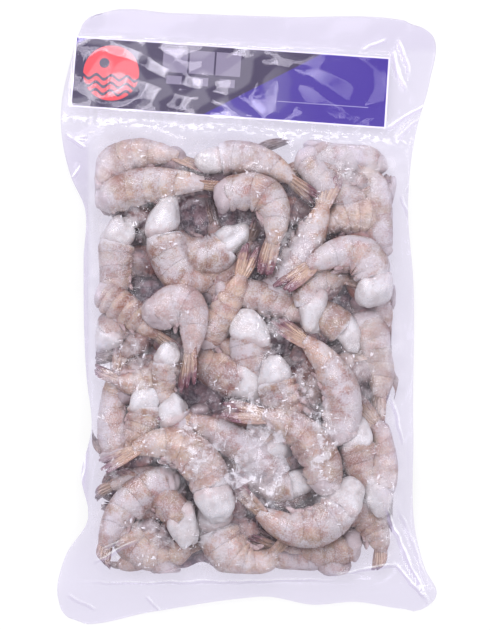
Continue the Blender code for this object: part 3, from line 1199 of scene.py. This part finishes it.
class ShellFinish(Finish):
    """Raw prawn shell under frost: grey-beige and see-through, with darker bands and ring edges."""

    name = "prawn_shell"

    def colour(self) -> bpy.types.NodeSocket:
        """The shell's colour before frost and shade: broad tones, then bands, ring edges and specks."""
        band, back, pale = self.trait("band"), self.trait("back"), self.trait("pale")
        broad, fine = self.grain(15, 2), self.grain(2.6, 3, 0.3)
        blush = self.clouds(7, 3, 4.1, 0.52, 0.64) * (1.15 - back)
        brown = self.trait("brown") * (band * 2.2 * self.clouds(5, 2, 0.9, 0.38, 0.56)).least(1)
        worn = self.clouds(4, 3, 5.1, 0.42, 0.60)
        edge = (self.trait("edge") * (0.25 + worn * 0.75) * (0.85 - pale * 0.4)).least(0.75)
        specks = self.clouds(1.3, 2, 0.9, 0.60, 0.68) * self.clouds(12, 2, 0.2, 0.45, 0.62)
        return self.layered(
            self.mix(self.trait("tone"), linear(198, 170, 152), linear(142, 106, 98)),
            (broad.ease(0.43, 0.57) * 0.55, (212, 187, 158)),
            (self.trait("frost").ease(0.55, 0.95) * 0.45, (154, 110, 116)),
            (self.clouds(11, 3, 2.9, 0.48, 0.60) * 0.55, (144, 108, 102)),
            (self.clouds(12, 3, 0.7, 0.46, 0.58) * (0.2 + back) * 0.6, (152, 136, 102)),
            ((blush * 0.5).least(0.55), (188, 130, 120)),
            (back.ease(0.60, 1.0) * 0.45, (138, 100, 88)),
            (self.trait("warm") * 0.7, (220, 184, 148)),
            ((band * (0.45 + fine * 1.2)).least(0.85), (134, 82, 66)),
            (brown, (134, 85, 58)),
            (pale * (0.35 + broad * 0.5), (188, 162, 156)),
            (edge, (118, 74, 64)),
            (specks * 0.5, (120, 76, 68)))

    def draw(self) -> bpy.types.NodeSocket:
        """Colour, then frost in patches with a painted highlight on what faces up, then painted shade in
        the depth between the prawns.
        """
        # frost: cloudy patches and fine crystals, plus a painted highlight on the upward side from the rise
        # trait
        patch = self.clouds(13, 2, 1.3, 0.36, 0.64) * 0.78 + self.trait("rise").ease(0.40, 1.0) * 0.35
        crystals = (self.grain(0.9, 2, 3.7) - 0.5) * 1.9 + (self.grain(3.2, 4, 1.7) - 0.5) * 0.6
        frost = (patch * (0.35 + self.trait("frost") * 0.65) + crystals).ease(0.0, 1.0) * 0.70
        mouth = (self.trait("mouth") + (self.grain(4, 3, 7.7) - 0.5) * 0.9).ease(0.30, 0.75)
        base = self.layered(self.colour(), (frost, (214, 214, 216)), (mouth * 0.85, (222, 220, 219)))
        # painted shade: the colour the shell takes at the bottom of the gaps, dark purple-grey with brown
        # clouds
        gap_shade = self.mix(self.clouds(10, 3, 5.3, 0.42, 0.60), linear(76, 42, 58), linear(160, 116, 114))
        gap_shade = self.layered(gap_shade, (self.clouds(17, 2, 9.1, 0.46, 0.56) * 0.6, (130, 74, 50)))
        relief = self.bump(self.grain(5, 2, 2.5), 0.6, self.bump(self.grain(1.1, 2, 2.1), 0.30))
        return self.principled(self.settle(base, gap_shade), 0.48 + frost * 0.3, relief,
                               {"Subsurface Weight": 0.2, "Subsurface Radius": (0.005, 0.0042, 0.0038),
                                "Subsurface Scale": 1.0, "Coat Weight": 0.05, "Coat Roughness": 0.3})


class MeatFinish(Finish):
    """Frozen cut meat: white, a little pink and grey where it turns glassy."""

    name = "cut_meat"

    def draw(self) -> bpy.types.NodeSocket:
        """White with faint pink clouds; greyer where the lump belongs to a hidden end."""
        root = ((1 - self.trait("tip")) + (self.grain(5, 3, 5.9) - 0.5) * 1.2).ease(0.45, 0.95)
        base = self.layered(
            self.mix(self.clouds(9, 3, 0.4, 0.46, 0.66) * 0.6,
                     linear(217, 216, 213), linear(205, 199, 193)),
            (self.clouds(8, 3, 3.1, 0.48, 0.62) * 0.4, (184, 173, 168)),
            ((1 - self.trait("meat")) * 0.65, (178, 158, 158)),
            (root * 0.55, (190, 164, 158)))
        relief = self.bump(self.grain(6, 3, 1.2), 0.6, self.bump(self.grain(1.4, 4, 0.2), 0.08))
        # painted shade: dark mauve at the bottom of the gaps
        return self.principled(self.settle(base, linear(118, 88, 92)), 0.45, relief,
                               {"Subsurface Weight": 0.3, "Subsurface Radius": (0.006, 0.005, 0.0045),
                                "Subsurface Scale": 1.0, "Coat Weight": 0.06, "Coat Roughness": 0.3})


class FanFinish(Finish):
    """Tail blades: tan and grey with pale ribs, brown streaks and purple tips."""

    name = "tail_fan"

    def draw(self) -> bpy.types.NodeSocket:
        """Streaks along each blade, a pale rib, and a tip that turns purple-brown."""
        cloud = self.grain(4, 3, 0.6)
        streak = ((self.trait("across") + cloud * 1.6) * 3.0).math("SINE") * 0.5 + 0.5
        tip = self.trait("along") + (cloud - 0.5) * 0.6
        base = self.layered(
            self.mix(self.trait("tone"), linear(192, 156, 130), linear(158, 124, 112)),
            (streak * 0.55, (128, 92, 72)),
            (cloud.ease(0.48, 0.66) * 0.5, (116, 78, 80)),
            (self.trait("rib") * 0.60, (232, 206, 174)),
            (tip.ease(0.48, 0.86) * 0.85, (112, 54, 78)),
            (self.clouds(3, 3, 1.9, 0.54, 0.7) * 0.45, (230, 216, 216)))
        # painted shade: dark mauve at the bottom of the gaps
        return self.principled(self.settle(base, linear(78, 52, 56)), 0.4, self.bump(streak, 0.4),
                               {"Coat Weight": 0.3, "Coat Roughness": 0.2})


class PaddleFinish(Finish):
    """Swimmerets: pinkish brown, see-through at the tips."""

    name = "swimmeret"

    def draw(self) -> bpy.types.NodeSocket:
        """Pink-brown, paler towards the tip."""
        base = self.mix(self.trait("along"), linear(168, 140, 136), linear(196, 176, 172))
        base = self.layered(base, (self.clouds(2, 3, 0.8, 0.45, 0.65) * 0.6, (150, 112, 112)))
        relief = self.bump(self.grain(1.0, 3, 0.1), 0.3)
        # painted shade: dark mauve at the bottom of the gaps
        return self.principled(self.settle(base, linear(82, 56, 60)), 0.45, relief)


class CoreFinish(Finish):
    """Ice, broken bits and shadow in the middle of the block."""

    name = "frozen_core"

    def draw(self) -> bpy.types.NodeSocket:
        """Painted shade, dark purple-grey, on the upper side seen from above; frosty where it meets the
        lower film.
        """
        cloud = self.grain(7, 5, 0.9)
        # painted shade: the upper side is dark purple-grey for the shadow inside the block, with paler ice
        # flecks
        top = self.layered(
            self.mix(cloud.ease(0.42, 0.60), linear(66, 40, 60), linear(146, 112, 118)),
            (self.clouds(2.2, 5, 2.2, 0.52, 0.66) * 0.5, (180, 164, 170)),
            (self.trait("fade"), (222, 214, 225)))
        under = self.mix(cloud.ease(0.35, 0.65), linear(178, 164, 172), linear(220, 212, 220))
        return self.principled(self.mix(self.trait("under"), top, under), 0.45,
                               self.bump(self.grain(4, 4, 0.4), 1.0),
                               {"Coat Weight": 0.3, "Coat Roughness": 0.15})


class Skins:
    """Closing an upper and a lower grid of the same size into one shell."""

    @staticmethod
    def closed(x: np.ndarray, y: np.ndarray, upper: np.ndarray, lower: np.ndarray,
               traits: dict[str, np.ndarray], below: dict[str, float]) -> Patch:
        """Join two skins over the same places round their rims.

        Args:
            x: how far right each place is, as (rows, columns).
            y: how far up, in the same rows and columns.
            upper: the height of the upper skin.
            lower: the height of the lower skin.
            traits: for each name, the numbers of the upper skin.
            below: the one number of the lower skin where it isn't 0.

        Returns:
            The closed shell with its faces outwards.
        """
        rows, columns = x.shape
        number = np.arange(rows * columns).reshape(rows, columns)
        cells = np.stack([number[:-1, :-1], number[:-1, 1:], number[1:, 1:], number[1:, :-1]], -1)
        cells = cells.reshape(-1, 4)
        shift = rows * columns
        rim = np.concatenate([number[0, :-1], number[:-1, -1], number[-1, :0:-1], number[:0:-1, 0]])
        after = np.roll(rim, -1)
        wall = np.stack([rim + shift, after + shift, after, rim], -1)
        quads = np.concatenate([cells, cells[:, ::-1] + shift, wall])
        points = np.concatenate([space(x, y, skin).reshape(-1, 3) for skin in (upper, lower)])
        numbers = {name: np.concatenate([grid.ravel(), np.full(grid.size, below.get(name, 0.0))])
                   for name, grid in traits.items()}
        return Patch(points, quads, np.zeros((0, 3), int), numbers)


@dataclass
class FrozenCore:
    """The uneven bed of ice between the prawns, with a flat underside."""

    top: float = 4.5
    relief: float = 1.6
    floor: float = 0.5
    least: float = 0.4
    inset: float = 13
    half_length: float = 147
    middle_y: float = -32
    columns: int = 90
    rows: int = 130
    corner: float = 2.6
    shore: float = 5

    def surface(self) -> Patch:
        """A low cushion that fills the space.

        The grid is a square with its corners drawn in by an eighth power. The top is rippled and comes down
        to the floor at the rim as a quarter circle.

        Returns:
            The closed cushion. Its traits tell the underside and the frost near the walls.
        """
        u, v = np.meshgrid(np.linspace(-1, 1, self.columns), np.linspace(-1, 1, self.rows))
        half_x = (OUTLINE.fill_right - OUTLINE.fill_left) / 2 - self.inset
        half_y = self.half_length - self.inset
        x = half_x * (u * np.sqrt(1 - v ** 8 / self.corner))
        y = half_y * (v * np.sqrt(1 - u ** 8 / self.corner)) + self.middle_y
        wander = ripple(flat(x, y), 30, 77)
        x, y = x + 3 * wander * u ** 4, y + 3 * wander * v ** 4
        depth = np.clip((1 - np.maximum(np.abs(u), np.abs(v))) * self.shore, 0, 1)
        places = flat(x, y)
        crown = self.top + self.relief * (ripple(places, 22, 3) + 0.5 * ripple(places, 9, 5))
        thin = self.floor + self.least
        high = thin + (crown - thin) * np.sqrt(1 - (1 - depth) ** 2)
        return Skins.closed(x, y, high, np.full_like(high, self.floor),
                            {"under": np.zeros_like(high), "fade": OUTLINE.fade(x, y)}, {"under": 1.0})


class FilmFinish(Finish):
    """Clear film with a faint violet veil: mostly see-through, with gloss, creases with painted light and
    shade, hazy places and painted glare.
    """

    name = "clear_film"
    least_share = 0.001

    def draw(self) -> bpy.types.NodeSocket:
        """A see-through shader under a glossy one; how hazy it is, with the painted glare, follows the
        film's own numbers.
        """
        cling = self.trait("cling")
        cloud = self.clouds(30, 1, 2.3, 0.44, 0.66)
        torn = self.clouds(5, 4, 1.4, 0.40, 0.62)
        flecks = (self.flecks(cloud) * cling).least(0.7)
        light, shade = self.strokes(torn)
        shards = self.shards(torn) * 0.38
        # the film's own haze, plus the painted glare over the card that the looks put in the same trait
        milky = 0.006 + cloud * torn * cling * 0.30 + self.trait("milky")
        veil = (milky + flecks + light * 0.7 + shade * 0.5 + shards).least(0.85)
        shine = self.node("ShaderNodeFresnel", {}, {"IOR": 1.45})
        gloss = (shine * self.trait("sheen")).least(0.15)
        share = gloss + (1 - gloss) * veil
        haze = (veil * (1 - gloss) / (share + self.least_share)) * (1 - flecks) * cling
        tint = self.layered(
            self.mix(haze, linear(236, 231, 245), linear(208, 199, 206)),
            ((shards * 8).least(1), (226, 221, 233)),
            ((shade * 4).least(1), (188, 178, 206)),
            ((light * 4).least(1), (247, 245, 253)))
        relief = self.bump(self.grain(3.2, 2, 4.8) * (0.3 + cling), 0.25)
        look = self.principled(tint, 0.08 + veil * 0.4, relief,
                               {"Metallic": gloss / (share + self.least_share)})
        clear = self.raw("ShaderNodeBsdfTransparent", {}, {"Color": linear(245, 243, 250)}).outputs[0]
        return self.raw("ShaderNodeMixShader", {}, {0: share, 1: clear, 2: look}).outputs[0]

    def flecks(self, cloud: Val) -> Val:
        """Frost on the inside of the film: needles that lie two ways, and fine rime in patches.

        Args:
            cloud: broad patches in which the needles are at their full strength.

        Returns:
            The share of frost.
        """
        lying, standing = (self.grain(2.0, 2, shift, stretch).ease(0.66, 0.69)
                           for shift, stretch in ((7.1, (0.35, 1, 1)), (3.3, (1, 0.35, 1))))
        rime = self.clouds(0.8, 1, 6.6, 0.55, 0.64) * self.clouds(12, 2, 4.4, 0.44, 0.60)
        return (lying + standing) * (0.25 + cloud * 0.75) * 0.7 + rime * 0.22

    def shards(self, torn: Val) -> Val:
        """Small flat facets of film that catch the light where the film is most crumpled.

        Args:
            torn: patches in which they are at their full strength.

        Returns:
            The share of light.
        """
        where = self.raw("ShaderNodeMapping", {}, {"Vector": self.place, "Scale": (1, 0.6, 0.3),
                                                   "Rotation": (0, 0, 0.7)}).outputs[0]
        facet = self.node("ShaderNodeTexVoronoi", {}, {"Vector": where, "Scale": 1 / (7 * MM)}, "Color")
        return facet.ease(0.58, 0.60) * (0.35 + torn * 0.65) * self.trait("busy")

    def strokes(self, torn: Val) -> tuple[Val, Val]:
        """The light and the shaded side of the long creases.

        Args:
            torn: patches in which the light side is at its full strength.

        Returns:
            The share of painted light, with the painted glints along the seam under the card, and the share
            of painted shade.
        """
        power = self.trait("power")
        off = self.trait("off") + (self.grain(16, 1, 5.0) - 0.5) * 2
        light = off.size().ease(0.5, 0.05) * power * (0.5 + torn * 0.5)
        # painted glints: white flecks of crumpled film along the seam under the card
        seam = self.trait("seam") * self.grain(2.6, 3, 2.6, (0.6, 1, 1)).ease(0.50, 0.56)
        shade = (off - 0.8).size().ease(0.8, 0) * power
        return light + seam * 0.50, shade + self.trait("tinge")


@dataclass(frozen=True)
class Spot:
    """A soft oval place of the film: its middle, how far it reaches and how strong it is."""

    x: float
    y: float
    wide: float
    long: float
    power: float = 1

    def at(self, x: np.ndarray, y: np.ndarray) -> np.ndarray:
        """Its strength there: the power times e to the minus square of the distance in reaches."""
        return self.power * np.exp(-((x - self.x) / self.wide) ** 2 - ((y - self.y) / self.long) ** 2)


HAZES = [Spot(76, 98, 30, 20, 0.42), Spot(86, -24, 18, 34, 0.40), Spot(-98, 40, 14, 60, 0.30),
         Spot(92, -120, 16, 40, 0.28), Spot(-20, -164, 60, 12, 0.14), Spot(-60, 104, 50, 10, 0.15),
         Spot(20, -110, 34, 16, 0.22)]
BUSY = Spot(10, -88, 45, 32)


@dataclass
class FilmBag:
    """The clear bag: its upper film drapes over the prawns, its lower film lies flat on the table."""

    heap: HeightMap
    gap: float = 0.4
    settle_rounds: int = 70
    slope_reach: float = 9
    columns: int = 180
    rows: int = 272
    closer_share: float = 0.35
    ceiling: float = 41.8
    half_fin: float = 0.35
    least_gap: float = 0.3
    rim_reach: float = 6
    crease_reach: float = 2
    crease_end: float = 1.95
    film: HeightMap = field(default_factory=HeightMap)
    bridge: np.ndarray | None = None

    def drape(self) -> HeightMap:
        """Let the upper film settle.

        Each round every free point takes the mean of its four neighbours, but never less than the heap
        below it. Outside the filled space the film lies on the margins.

        Returns:
            The film's height over the whole pack.
        """
        x, y = self.film.x, self.film.y
        lying = OUTLINE.margin(x, y) + 0.15
        inside = OUTLINE.depth_inside(x, y) > 0
        held = np.where(inside, np.maximum(blur(self.heap.z, 1), self.heap.z) + self.gap, lying)
        held = np.maximum(held, lying)
        spread = self.slope_reach * (1 + 0.6 * ripple(flat(x, y), 50, 91))
        loose = OUTLINE.depth_inside(x, y) > -spread
        z = held.copy()
        for _ in range(self.settle_rounds):
            mean = z.copy()
            mean[1:-1, 1:-1] = (z[:-2, 1:-1] + z[2:, 1:-1] + z[1:-1, :-2] + z[1:-1, 2:]) / 4
            z = np.where(loose, np.maximum(mean, held), lying)
        self.bridge = z - held
        self.film.z = np.where(loose, np.maximum(blur(z, 2), held), lying)
        return self.film

    def over_card(self, x: np.ndarray, y: np.ndarray) -> np.ndarray:
        """Where the film lies over the card.

        Args:
            x: how far right of the middle.
            y: how far above the middle.

        Returns:
            1 over the card, falling to 0 within a few millimetres round it.
        """
        right, up = x - CARD.centre[0], y - CARD.centre[1]
        along = right * math.cos(CARD.turn) + up * math.sin(CARD.turn)
        across = up * math.cos(CARD.turn) - right * math.sin(CARD.turn)
        return ease(6, 0, np.abs(along) - CARD.width / 2) * ease(5, 0, np.abs(across) - CARD.depth / 2)

    def wrinkles(self, x: np.ndarray, y: np.ndarray, free: np.ndarray) -> np.ndarray:
        """Facets where the film is free, sharper over the card, and folds along the card and the seals.

        Args:
            x: how far right of the middle.
            y: how far above the middle.
            free: how far the film is free of the prawns, from 0.

        Returns:
            The relief in millimetres: crumpled facets of three sizes, pleats across the card's edge, the
            lower seal and the side walls, and the long creases.
        """
        places = flat(x, y)
        broad = ease(-0.5, 0.6, ripple(places, 60, 23))
        corner = ease(85, 122, np.abs(x)) * ease(140, 196, np.abs(y))
        depth = OUTLINE.depth_inside(x, y)
        sharp = np.where(depth < 0, 0.22 + 0.6 * corner, 1.0)
        facets = 1.1 * crumple(places, 19, 21) * (0.35 + 0.65 * broad) + 0.16 * crumple(places, 6.5, 51)
        loose = sharp * facets + 0.5 * ripple(places, 48, 33) * (depth < 0)
        loose = loose + 0.3 * crumple(places * np.array([1.0, 0.18]), 8, 41, 2) * ease(80, 115, np.abs(x))
        seam = bell(y - OUTLINE.card_edge(x), -5, 6) + 0.8 * bell(y - OUTLINE.fill_bottom, -2, 8)
        pull = crumple(places * np.array([1.0, 0.25]), 7, 31, 3)
        wall = bell(depth, 0, 9) * ease(-170, -150, y) * ease(130, 90, y)
        radial = crumple(places * np.array([0.22, 1.0]), 11, 81, 3) * wall
        return loose * free + 0.8 * pull * seam + radial + self.folds(x, y)[0]

    def folds(self, x: np.ndarray, y: np.ndarray) -> tuple[np.ndarray, np.ndarray, np.ndarray]:
        """The few long creases: low rounded ridges between two points.

        Args:
            x: how far right of the middle.
            y: how far above the middle.

        Returns:
            The ridges' height, how far beside the nearest one each place lies, counted in ridge widths, and
            how strongly that one catches the light there.
        """
        height, nearest = np.zeros_like(x), np.full_like(x, 99.0)
        off, power = np.zeros_like(x), np.zeros_like(x)
        for crease in CREASES:
            across, up = crease.end[0] - crease.start[0], crease.end[1] - crease.start[1]
            length = math.hypot(across, up)
            right, above = x - crease.start[0], y - crease.start[1]
            along = (right * across + above * up) / length ** 2
            beside = (right * up - above * across) / length / crease.wide
            height += crease.high * ease(-0.15, 0.2, along) * ease(1.15, 0.8, along) * bell(beside, 0, 1)
            ends = ease(-0.1, 0.2, along) * ease(1.1, 0.8, along)
            closer = (np.abs(beside) < nearest) & (ends > 0)
            nearest = np.where(closer, np.abs(beside), nearest)
            off = np.where(closer, beside, off)
            power = np.where(closer, ends * crease.light, power)
        power = power * (np.abs(off) < self.crease_end)
        return height, np.clip(off, -self.crease_reach, self.crease_reach), power

    def places(self) -> tuple[np.ndarray, np.ndarray]:
        """The film's grid, centred on its outline.

        Returns:
            The x and y of its points, with columns that lie a little closer at the sides.
        """
        share = np.linspace(0, 1, self.columns)
        closer = 0.5 - 0.5 * np.cos(math.pi * share)
        across = self.closer_share * closer + (1 - self.closer_share) * share
        x, y = OUTLINE.patch(across, np.linspace(0, 1, self.rows))
        return x - (x.min() + x.max()) / 2, y - (y.min() + y.max()) / 2

    def surface(self) -> Patch:
        """The closed shell of both films.

        Returns:
            The shell, with the numbers from which its finish makes haze, creases and gloss.
        """
        x, y = self.places()
        depth = OUTLINE.depth_inside(x, y)
        free = np.clip(self.film.look_up(self.bridge, x, y) / 3, 0, 1)
        free = np.where(depth > 0, free, 0.8)
        card, busy = self.over_card(x, y), BUSY.at(x, y)
        slack = (0.12 + 0.88 * np.maximum(free, 0.5 * busy)) * (1 + 1.2 * busy)
        lift = self.wrinkles(x, y, slack) + 0.5 * busy
        facets = crumple(flat(x, y), 19, 61, 3)
        over = 1.1 + (1.3 + 0.9 * bell(x, -42, 34)) * (1 + facets)
        margin = OUTLINE.margin(x, y)
        from_rim = np.minimum(np.minimum(x - x[:, :1], x[:, -1:] - x), np.minimum(y - y[:1], y[-1:] - y))
        flatter = ease(0, self.rim_reach, from_rim)
        film = self.film.at(x, y)
        film = np.where(depth > 0, film, margin + (film - margin) * flatter)
        upper = film + card * over + (1 - card) * lift * (0.3 + 0.7 * flatter)
        lower = (margin - self.half_fin) * (1 - ease(0, 18, depth)) + np.minimum(lift, 0) * (depth < 0)
        upper = np.clip(upper, lower + self.least_gap, self.ceiling)
        return Skins.closed(x, y, upper, lower, self.looks(x, y, free, facets), {"sheen": 0.6})

    def looks(self, x: np.ndarray, y: np.ndarray, free: np.ndarray, facets: np.ndarray
              ) -> dict[str, np.ndarray]:
        """What the finish reads at each place of the upper film.

        Args:
            x: how far right of the middle.
            y: how far above the middle.
            free: how far the film is free of the prawns, from 0 to 1.
            facets: the crumpled relief over the card, between -1 and 1.

        Returns:
            The numbers by name: how hazy the film is, with painted glare over the card's dark field, how
                clinging, glossy and
            crumpled it is, the painted glints along the seam under the card, the shade along the rims, and
            the long creases' side and strength.
        """
        depth = OUTLINE.depth_inside(x, y)
        card, busy = self.over_card(x, y), BUSY.at(x, y)
        bare = 1 - card
        above_edge = y - OUTLINE.card_edge(x)
        cling = ease(0, 9, HEAP_SPACE.depth_inside(x, y))
        hazes = sum(haze.at(x, y) for haze in HAZES) * ease(-0.9, 0.7, ripple(flat(x, y), 14, 95))
        inside = (0.03 * free + 0.07 * ease(14, 2, depth) + hazes) * ease(-6, 8, depth)
        # painted glare: milky patches on the film over the card's dark field, on the facets that would
        # reflect the lamps
        glare = 0.10 * card ** 2 * ease(45, 0, x) * ease(-0.1, 0.1, facets)
        left_wall = ease(-102, -108, x) * ease(130, 100, y) * ease(-150, -120, y)
        gloss = 0.38 - 0.25 * ease(172, 184, y) * bare + (1.6 - 1.2 * ease(15, 60, x)) * card ** 3
        _, off, power = self.folds(x, y)
        return {"milky": inside + 0.04 * ease(3, -3, depth) * bare + glare,
                "cling": cling,
                "sheen": gloss + 0.5 * bell(above_edge, -6, 7) * bare + 1.2 * busy ** 2,
                "seam": bell(above_edge, -8, 2.6) * bare,
                "off": off,
                "power": power,
                "tinge": 0.36 * ease(170, 182, y) * bare + 0.55 * left_wall,
                "busy": busy + 0.15 * cling * free}


class PrintFinish(Finish):
    """The card's print: a near-black and a violet field with a slanting border, and a few plain shapes."""

    name = "printed_card"
    black, violet = linear(36, 12, 64), linear(52, 16, 140)
    white, red, grey = (240, 236, 250), (238, 62, 70), (196, 188, 208)
    slant_start, slant_slope = 21.1, 1.65
    corner_start, corner_slope = -75.5, 0.55
    roundel_x, roundel_y, roundel_radius, roundel_soft = -79, 0.5, 18.3, 0.3
    dot_x, dot_y = -84, 7
    wave_levels = (-2.5, -7.5, -12.5)
    square_places = (-37.3, -19.7, -2.1)
    squares = ((11.6, (16.4, 15.6), 0.40), (-1.2, (10.2, 5.6), 0.42))
    line_middle, line_size = (60.5, -10.6), (63, 0.35)
    border_across, border_up = 2.2, 2.0

    def box(self, across: Val, up: Val, centre: tuple[float, float], size: tuple[float, float]) -> Val:
        """An upright rectangle of the print.

        Args:
            across: how far right of the card's middle, in millimetres.
            up: how far above it.
            centre: the rectangle's middle.
            size: its width and height.

        Returns:
            1 inside and 0 outside.
        """
        soft = 0.15
        beside = (across - centre[0]).size().ease(size[0] / 2 + soft, size[0] / 2 - soft)
        above = (up - centre[1]).size().ease(size[1] / 2 + soft, size[1] / 2 - soft)
        return beside * above

    def roundel(self, across: Val, up: Val) -> Val:
        """A disc with three waves and a dot cut out of it.

        Args:
            across: how far right of the card's middle, in millimetres.
            up: how far above it.

        Returns:
            1 on the disc and 0 off it.
        """
        disc = ((across - self.roundel_x) ** 2 + (up - self.roundel_y) ** 2) ** 0.5
        shape = disc.ease(self.roundel_radius + self.roundel_soft, self.roundel_radius)
        wave = (across * 0.62).math("SINE") * 1.5
        for level in self.wave_levels:
            shape = shape * (up - wave - level).size().ease(0.9, 1.2)
        return shape * (1 - ((across - self.dot_x) ** 2 + (up - self.dot_y) ** 2).ease(12, 10))

    def draw(self) -> bpy.types.NodeSocket:
        """Fields first, then the roundel with waves, the squares, the line and the white border."""
        spot = self.raw("ShaderNodeMapping", {"vector_type": "TEXTURE"},
                        {"Vector": self.place, "Rotation": (0, 0, CARD.turn), "Scale": (MM, MM, MM),
                         "Location": (CARD.centre[0] * MM, CARD.centre[1] * MM, 0)}).outputs[0]
        parts = self.raw("ShaderNodeSeparateXYZ", {}, {0: spot}).outputs
        across, up = Val(self, parts[0]), Val(self, parts[1])
        slant = across - self.slant_start - up * self.slant_slope
        corner = across * self.corner_slope - up - self.corner_start
        base = self.mix(slant.ease(-0.2, 0.2), self.black, self.violet)
        base = self.mix(corner.ease(0.2, -0.2), base, self.violet)
        squares = [(self.box(across, up, (middle, height), size) * share, self.grey)
                   for middle in self.square_places for height, size, share in self.squares]
        line = self.box(across, up, self.line_middle, self.line_size)
        inner = self.box(across, up, (0, 0), (CARD.width - self.border_across, CARD.depth - self.border_up))
        base = self.layered(base, (self.roundel(across, up), self.red), *squares,
                            (line * 0.5, self.white), (1 - inner, self.white))
        return self.principled(base, 0.42, self.bump(self.grain(1.5, 3, 0.4), 0.05))


@dataclass
class Studio:
    """Pale floor, soft lights and the camera straight above the pack."""

    middle: tuple[float, float] = (-1.3, 1.0)
    scale: float = 0.66
    lens: float = 200
    frame_height: int = 630
    sharp_height: float = 12
    floor_reach: float = 2.5
    floor_level: float = -0.0004
    sensor: float = 36
    lamps = (("key", (-0.9, 0.7, 1.5), (1.1, 1.1), 18), ("fill", (1.1, -0.5, 1.4), (1.0, 1.0), 13),
             ("rim", (0.3, 1.6, 0.9), (0.8, 0.4), 9), ("glint", (-0.30, 0.55, 1.6), (0.9, 0.6), 7))

    def floor(self) -> None:
        """A wide pale floor just under the pack."""
        mesh = bpy.data.meshes.new("floor")
        corners = ((-1, -1), (1, -1), (1, 1), (-1, 1))
        mesh.from_pydata([(right * self.floor_reach, up * self.floor_reach, self.floor_level)
                          for right, up in corners], [], [(0, 1, 2, 3)])
        finish = bpy.data.materials.new("floor")
        finish.use_nodes = True
        shader = finish.node_tree.nodes["Principled BSDF"]
        shader.inputs["Base Color"].default_value = (0.22, 0.22, 0.22, 1)
        shader.inputs["Emission Color"].default_value = (1, 1, 1, 1)
        shader.inputs["Emission Strength"].default_value = 0.72
        shader.inputs["Roughness"].default_value = 0.9
        shader.inputs["Specular IOR Level"].default_value = 0.1
        mesh.materials.append(finish)
        floor = bpy.data.objects.new("floor", mesh)
        bpy.context.scene.collection.objects.link(floor)

    def light(self, name: str, place: tuple[float, float, float], size: tuple[float, float],
              power: float) -> None:
        """One soft area light that faces the pack.

        Args:
            name: the light's name.
            place: where it hangs, in metres.
            size: its two sides, in metres.
            power: its strength in watts.
        """
        lamp = bpy.data.lights.new(name, "AREA")
        lamp.shape = "RECTANGLE"
        lamp.size, lamp.size_y = size
        lamp.energy = power
        holder = bpy.data.objects.new(name, lamp)
        holder.location = place
        way = -holder.location.normalized()
        holder.rotation_euler = way.to_track_quat("-Z", "Y").to_euler()
        holder.visible_camera = False
        bpy.context.scene.collection.objects.link(holder)

    def camera(self) -> None:
        """A long lens straight above, at the distance that gives the photo's scale."""
        lens = bpy.data.cameras.new("camera")
        lens.lens = self.lens
        lens.sensor_width = self.sensor
        lens.clip_end = 20
        view = bpy.data.objects.new("camera", lens)
        high = self.frame_height * self.scale * self.lens / self.sensor
        view.location = (self.middle[0] * MM, self.middle[1] * MM, (high + self.sharp_height) * MM)
        view.rotation_euler = (0, 0, 0)
        bpy.context.scene.collection.objects.link(view)
        bpy.context.scene.camera = view

    def build(self) -> None:
        """Set up floor, lights, surroundings and camera."""
        scene = bpy.context.scene
        self.floor()
        for row in self.lamps:
            self.light(*row)
        world = bpy.data.worlds.new("surroundings")
        world.use_nodes = True
        ground = world.node_tree.nodes["Background"]
        ground.inputs["Color"].default_value = (0.98, 0.98, 1.0, 1)
        ground.inputs["Strength"].default_value = 0.61
        scene.world = world
        scene.view_settings.view_transform = "Standard"
        scene.render.film_transparent = False
        self.camera()


def main() -> None:
    """Build every piece in order."""
    logging.basicConfig(level=logging.INFO, format="%(message)s")
    studio = Studio()
    studio.build()
    heap = PrawnHeap(PRAWNS + Bed().prawns())
    heap.gather()
    bag = FilmBag(heap.height_map())
    heap.sink(bag.drape())
    finishes = {"shells_on_top": ShellFinish(), "cut_meat": MeatFinish(), "tail_fans": FanFinish(),
                "swimmerets": PaddleFinish()}
    finishes["shells_below"] = finishes["shells_on_top"]
    pieces = [patch.build(f"prawn_{name}", finishes[name].material, "clear_film")
              for name, patch in heap.parts.items()]
    pieces.append(FrozenCore().surface().build("frozen_core", CoreFinish().material, "clear_film"))
    pieces.append(bag.surface().build("bag_film", FilmFinish().material, "clear_film"))
    for piece in pieces:
        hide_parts("bag")
    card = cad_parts["header_card"]
    card.data.materials.clear()
    card.data.materials.append(PrintFinish().material)
    log.info("header_card: printed")


if __name__ == "__main__":
    main()
